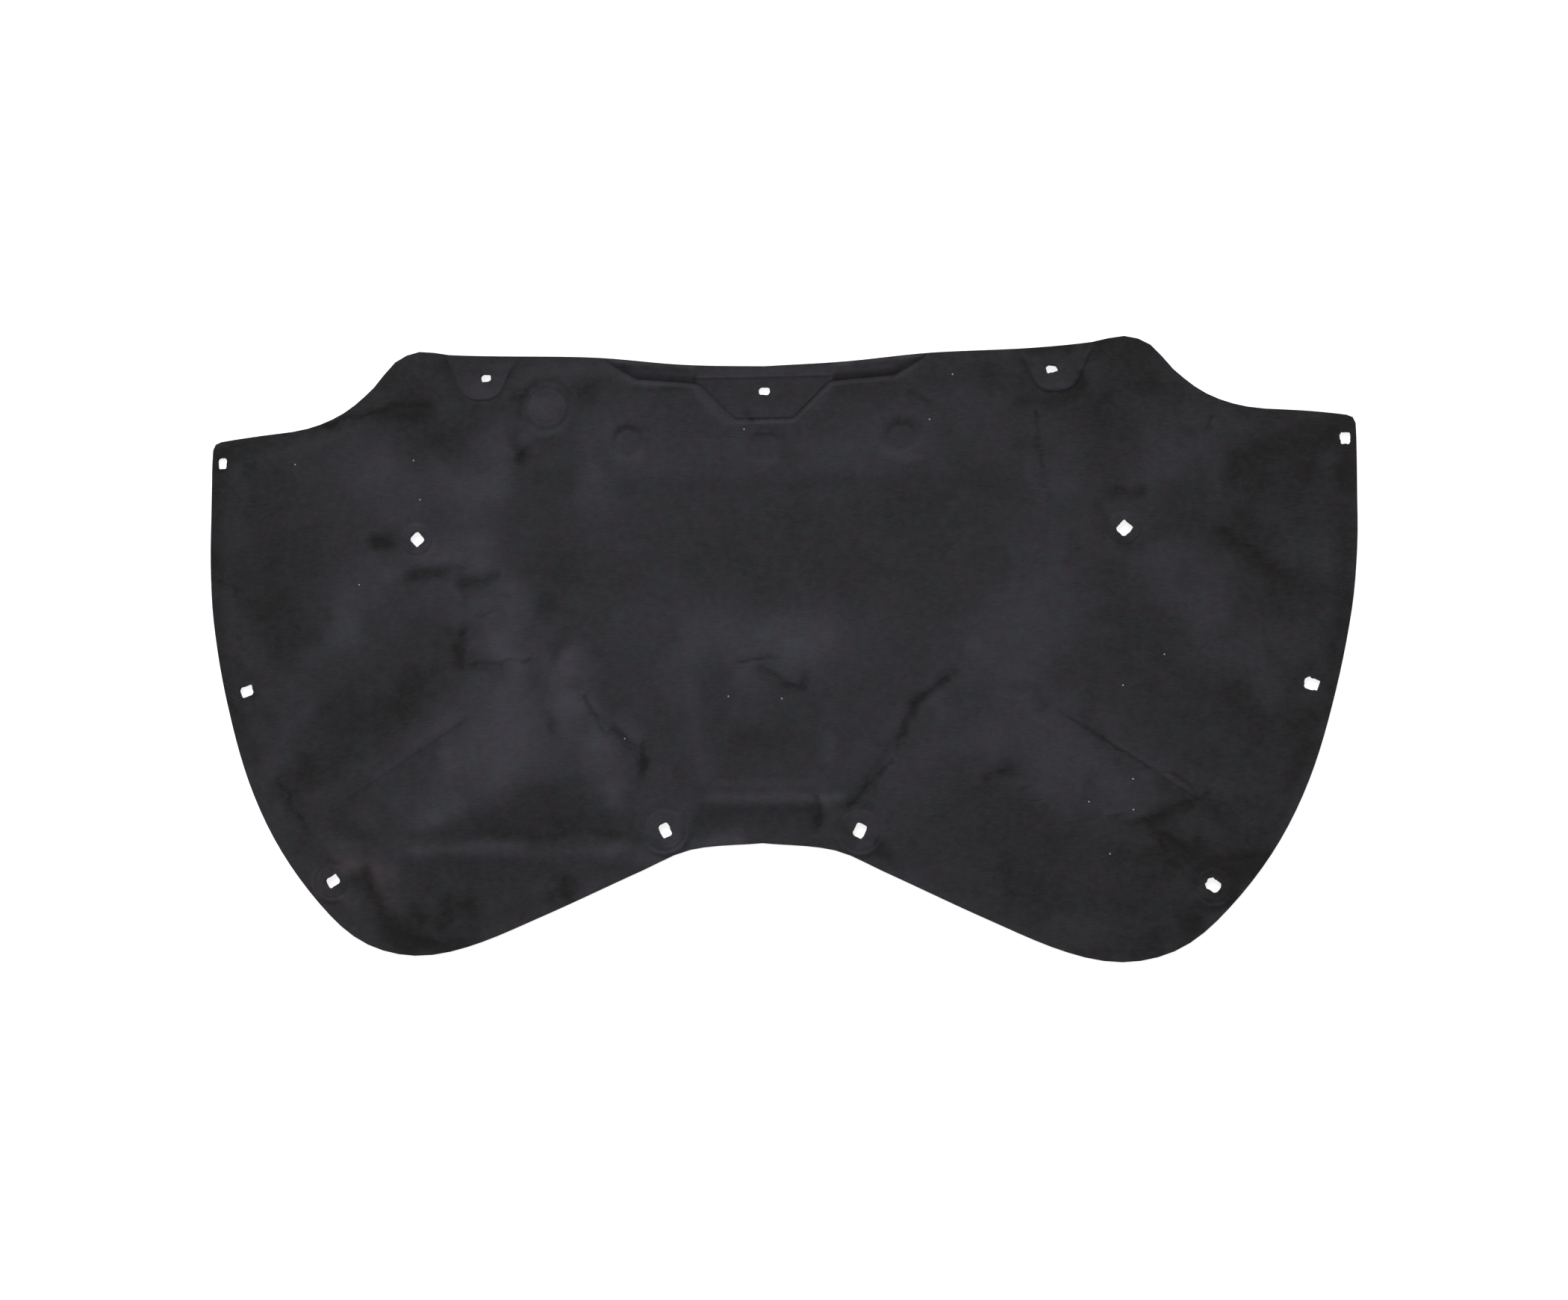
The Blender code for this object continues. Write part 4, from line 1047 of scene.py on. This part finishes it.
def needled_felt():
    """The felt's material: the attribute's grey with its painted light, and grain, fibres, tint and lint."""
    material = bpy.data.materials.new("charcoal_needled_felt")
    material.use_nodes = True
    tree = material.node_tree
    shader = tree.nodes["Principled BSDF"]
    place = add_node(tree, "ShaderNodeTexCoord", {}).outputs["Object"]
    in_mm = add_node(tree, "ShaderNodeVectorMath", {0: place, "Scale": 1000.0}, operation="SCALE").outputs[0]
    # This attribute's grey holds painted shade in creases, channels and hollows and painted highlight on lit
    # walls and rims
    tone_and_painted_light = add_node(tree, "ShaderNodeAttribute", {}, attribute_name="tone_and_painted_light").outputs["Fac"]
    rust = add_node(tree, "ShaderNodeAttribute", {}, attribute_name="rust").outputs["Fac"]
    pinched = add_node(tree, "ShaderNodeAttribute", {}, attribute_name="pinched").outputs["Fac"]

    shade, mean = tone_and_painted_light, 0
    for size, detail, roughness, strength in grain_layers:
        pattern = add_node(tree, "ShaderNodeTexNoise", {
            "Vector": in_mm, "Scale": 1 / size, "Detail": detail, "Roughness": roughness,
        }).outputs["Fac"]
        shade = add_node(tree, "ShaderNodeMath", {
            0: pattern, 1: strength, 2: shade,
        }, operation="MULTIPLY_ADD").outputs[0]
        mean += strength / 2
    height = 0.0
    for direction, strength in fibre_layers:
        laid = add_node(tree, "ShaderNodeMapping", {
            "Vector": in_mm, "Rotation": (0, 0, math.radians(direction)),
            "Scale": (1 / fibre_length_mm, 1 / fibre_width_mm, 1 / fibre_width_mm),
        }).outputs[0]
        pattern = add_node(tree, "ShaderNodeTexNoise", {
            "Vector": laid, "Scale": 1.0, "Detail": 3.0, "Roughness": 0.65, "Distortion": 0.6,
        }).outputs["Fac"]
        shade = add_node(tree, "ShaderNodeMath", {
            0: pattern, 1: strength, 2: shade,
        }, operation="MULTIPLY_ADD").outputs[0]
        mean += strength / 2
        height = add_node(tree, "ShaderNodeMath", {0: pattern, 1: height}, operation="ADD").outputs[0]
    shade = add_node(tree, "ShaderNodeMath", {
        0: shade, 1: mean,
    }, operation="SUBTRACT", use_clamp=True).outputs[0]
    felt_colour = add_node(tree, "ShaderNodeMix", {
        0: shade, 6: to_linear(dark_felt), 7: to_linear(light_felt),
    }, data_type="RGBA").outputs[2]

    # Fibres of mixed dye lots lean the black a little towards wine here and towards bottle green there
    lean = add_node(tree, "ShaderNodeTexNoise", {
        "Vector": in_mm, "Scale": 1 / tint_size_mm, "Detail": 3.0, "Roughness": 0.6,
    }).outputs["Fac"]
    lean = add_node(tree, "ShaderNodeMapRange", {0: lean, 1: 0.35, 2: 0.65}).outputs[0]
    tint = add_node(tree, "ShaderNodeMix", {
        0: lean, 6: to_linear(warm_tint), 7: to_linear(cool_tint),
    }, data_type="RGBA").outputs[2]
    tint = add_node(tree, "ShaderNodeMix", {
        0: rust, 6: tint, 7: to_linear(rust_tint),
    }, data_type="RGBA").outputs[2]
    felt_colour = add_node(tree, "ShaderNodeMix", {
        0: 1.0, 6: felt_colour, 7: tint,
    }, data_type="RGBA", blend_type="MULTIPLY").outputs[2]

    specks = 0.0
    for x, y in lint_places:
        away = add_node(tree, "ShaderNodeVectorMath", {
            0: in_mm, 1: (x * 1000, y * 1000, lint_depth_mm / 2),
        }, operation="SUBTRACT").outputs[0]
        away = add_node(tree, "ShaderNodeVectorMath", {
            0: away, 1: (1 / lint_radius_mm, 1 / lint_radius_mm, 1 / lint_depth_mm),
        }, operation="MULTIPLY").outputs[0]
        away = add_node(tree, "ShaderNodeVectorMath", {0: away}, operation="LENGTH").outputs["Value"]
        speck = add_node(tree, "ShaderNodeMath", {0: away, 1: 1.0}, operation="LESS_THAN").outputs[0]
        specks = add_node(tree, "ShaderNodeMath", {0: specks, 1: speck}, operation="MAXIMUM").outputs[0]
    colour = add_node(tree, "ShaderNodeMix", {
        0: specks, 6: felt_colour, 7: to_linear(lint_colour),
    }, data_type="RGBA").outputs[2]
    tree.links.new(colour, shader.inputs["Base Color"])

    needles = add_node(tree, "ShaderNodeTexVoronoi", {
        "Vector": in_mm, "Scale": 1 / needle_pitch_mm,
    }).outputs["Distance"]
    height = add_node(tree, "ShaderNodeMath", {
        0: needles, 1: needle_share, 2: height,
    }, operation="MULTIPLY_ADD").outputs[0]
    looseness = add_node(tree, "ShaderNodeMapRange", {0: pinched, 3: loose_bump, 4: pinched_bump}).outputs[0]
    bump = add_node(tree, "ShaderNodeBump", {
        "Strength": looseness, "Distance": bump_height, "Height": height,
    }).outputs["Normal"]
    tree.links.new(bump, shader.inputs["Normal"])
    shader.inputs["Roughness"].default_value = 0.92
    shader.inputs["Specular IOR Level"].default_value = 0.15
    shader.inputs["Sheen Weight"].default_value = 0.06
    shader.inputs["Sheen Roughness"].default_value = 0.5
    return material


pad.data.materials.clear()
pad.data.materials.append(needled_felt())


# Studio. A white floor that keeps the pad's shadow, a soft key from the windscreen side, which is the
# top of the photograph, and an even pale surround.
floor_half = 8.0
floor_gap = 0.0005
key_strength, sky_strength = 2.0, 0.40
key_elevation, key_azimuth, key_softness = 42.0, 12.0, 35.0
floor_colour, floor_lift = "#eeeeee", 0.75


def seen_rays(tree):
    """1 for what the camera sees, straight or through gloss or glass, and 0 for what only lights."""
    rays = add_node(tree, "ShaderNodeLightPath", {})
    seen = rays.outputs["Is Camera Ray"]
    for kind in ("Is Glossy Ray", "Is Transmission Ray"):
        ray = rays.outputs[kind]
        seen = add_node(tree, "ShaderNodeMath", {0: seen, 1: ray}, operation="MAXIMUM").outputs[0]
    return seen


def white_floor():
    """Matt white that the camera sees lifted to pure white, so that only the pad's shadow is left on it."""
    material = bpy.data.materials.new("white_floor")
    material.use_nodes = True
    tree = material.node_tree
    tree.nodes.remove(tree.nodes["Principled BSDF"])
    seen = seen_rays(tree)
    lift = add_node(tree, "ShaderNodeMath", {0: seen, 1: floor_lift}, operation="MULTIPLY").outputs[0]
    matt = add_node(tree, "ShaderNodeBsdfDiffuse", {"Color": to_linear(floor_colour)}).outputs[0]
    glow = add_node(tree, "ShaderNodeEmission", {"Color": (1, 1, 1, 1), "Strength": lift}).outputs[0]
    both = add_node(tree, "ShaderNodeAddShader", {0: matt, 1: glow}).outputs[0]
    tree.links.new(both, tree.nodes["Material Output"].inputs["Surface"])
    return material


floor_sheet = bmesh.new()
bmesh.ops.create_grid(floor_sheet, x_segments=1, y_segments=1, size=floor_half)
bmesh.ops.translate(floor_sheet, verts=floor_sheet.verts, vec=(0, 0, -floor_gap))
floor_mesh = bpy.data.meshes.new("floor")
floor_sheet.to_mesh(floor_mesh)
floor_sheet.free()
floor_mesh.materials.append(white_floor())
floor = bpy.data.objects.new("floor", floor_mesh)
bpy.context.scene.collection.objects.link(floor)

key = bpy.data.lights.new("key", "SUN")
key.energy = key_strength
key.angle = math.radians(key_softness)
key_lamp = bpy.data.objects.new("key", key)
key_lamp.rotation_euler = (math.radians(key_elevation - 90), 0, math.radians(key_azimuth))
bpy.context.scene.collection.objects.link(key_lamp)

world = bpy.data.worlds.new("studio")
bpy.context.scene.world = world
world.use_nodes = True
sky = world.node_tree
strength = add_node(sky, "ShaderNodeMapRange", {0: seen_rays(sky), 3: sky_strength, 4: 1.0}).outputs[0]
sky.links.new(strength, sky.nodes["Background"].inputs["Strength"])
sky.nodes["Background"].inputs["Color"].default_value = (1, 1, 1, 1)


# Camera. Nearly overhead, a little to the right of the pad and in front of it, as in the photograph.
camera_data = bpy.data.cameras.new("camera")
camera_data.lens = 50
camera_data.sensor_width = 36
camera_data.clip_end = 50
camera = bpy.data.objects.new("camera", camera_data)
swing, lean, roll = (math.radians(angle) for angle in (7.40, 5.67, 0.21))
facing = Matrix.Rotation(swing, 3, "Y") @ Matrix.Rotation(lean, 3, "X") @ Matrix.Rotation(roll, 3, "Z")
camera.rotation_euler = facing.to_euler()
aside, distance, aim = 0.0251, 2.5452, Vector((0, -0.003, 0.007))
camera.location = facing @ Vector((aside, 0, distance)) + aim
bpy.context.scene.collection.objects.link(camera)
bpy.context.scene.camera = camera
bpy.context.scene.view_settings.view_transform = "Standard"
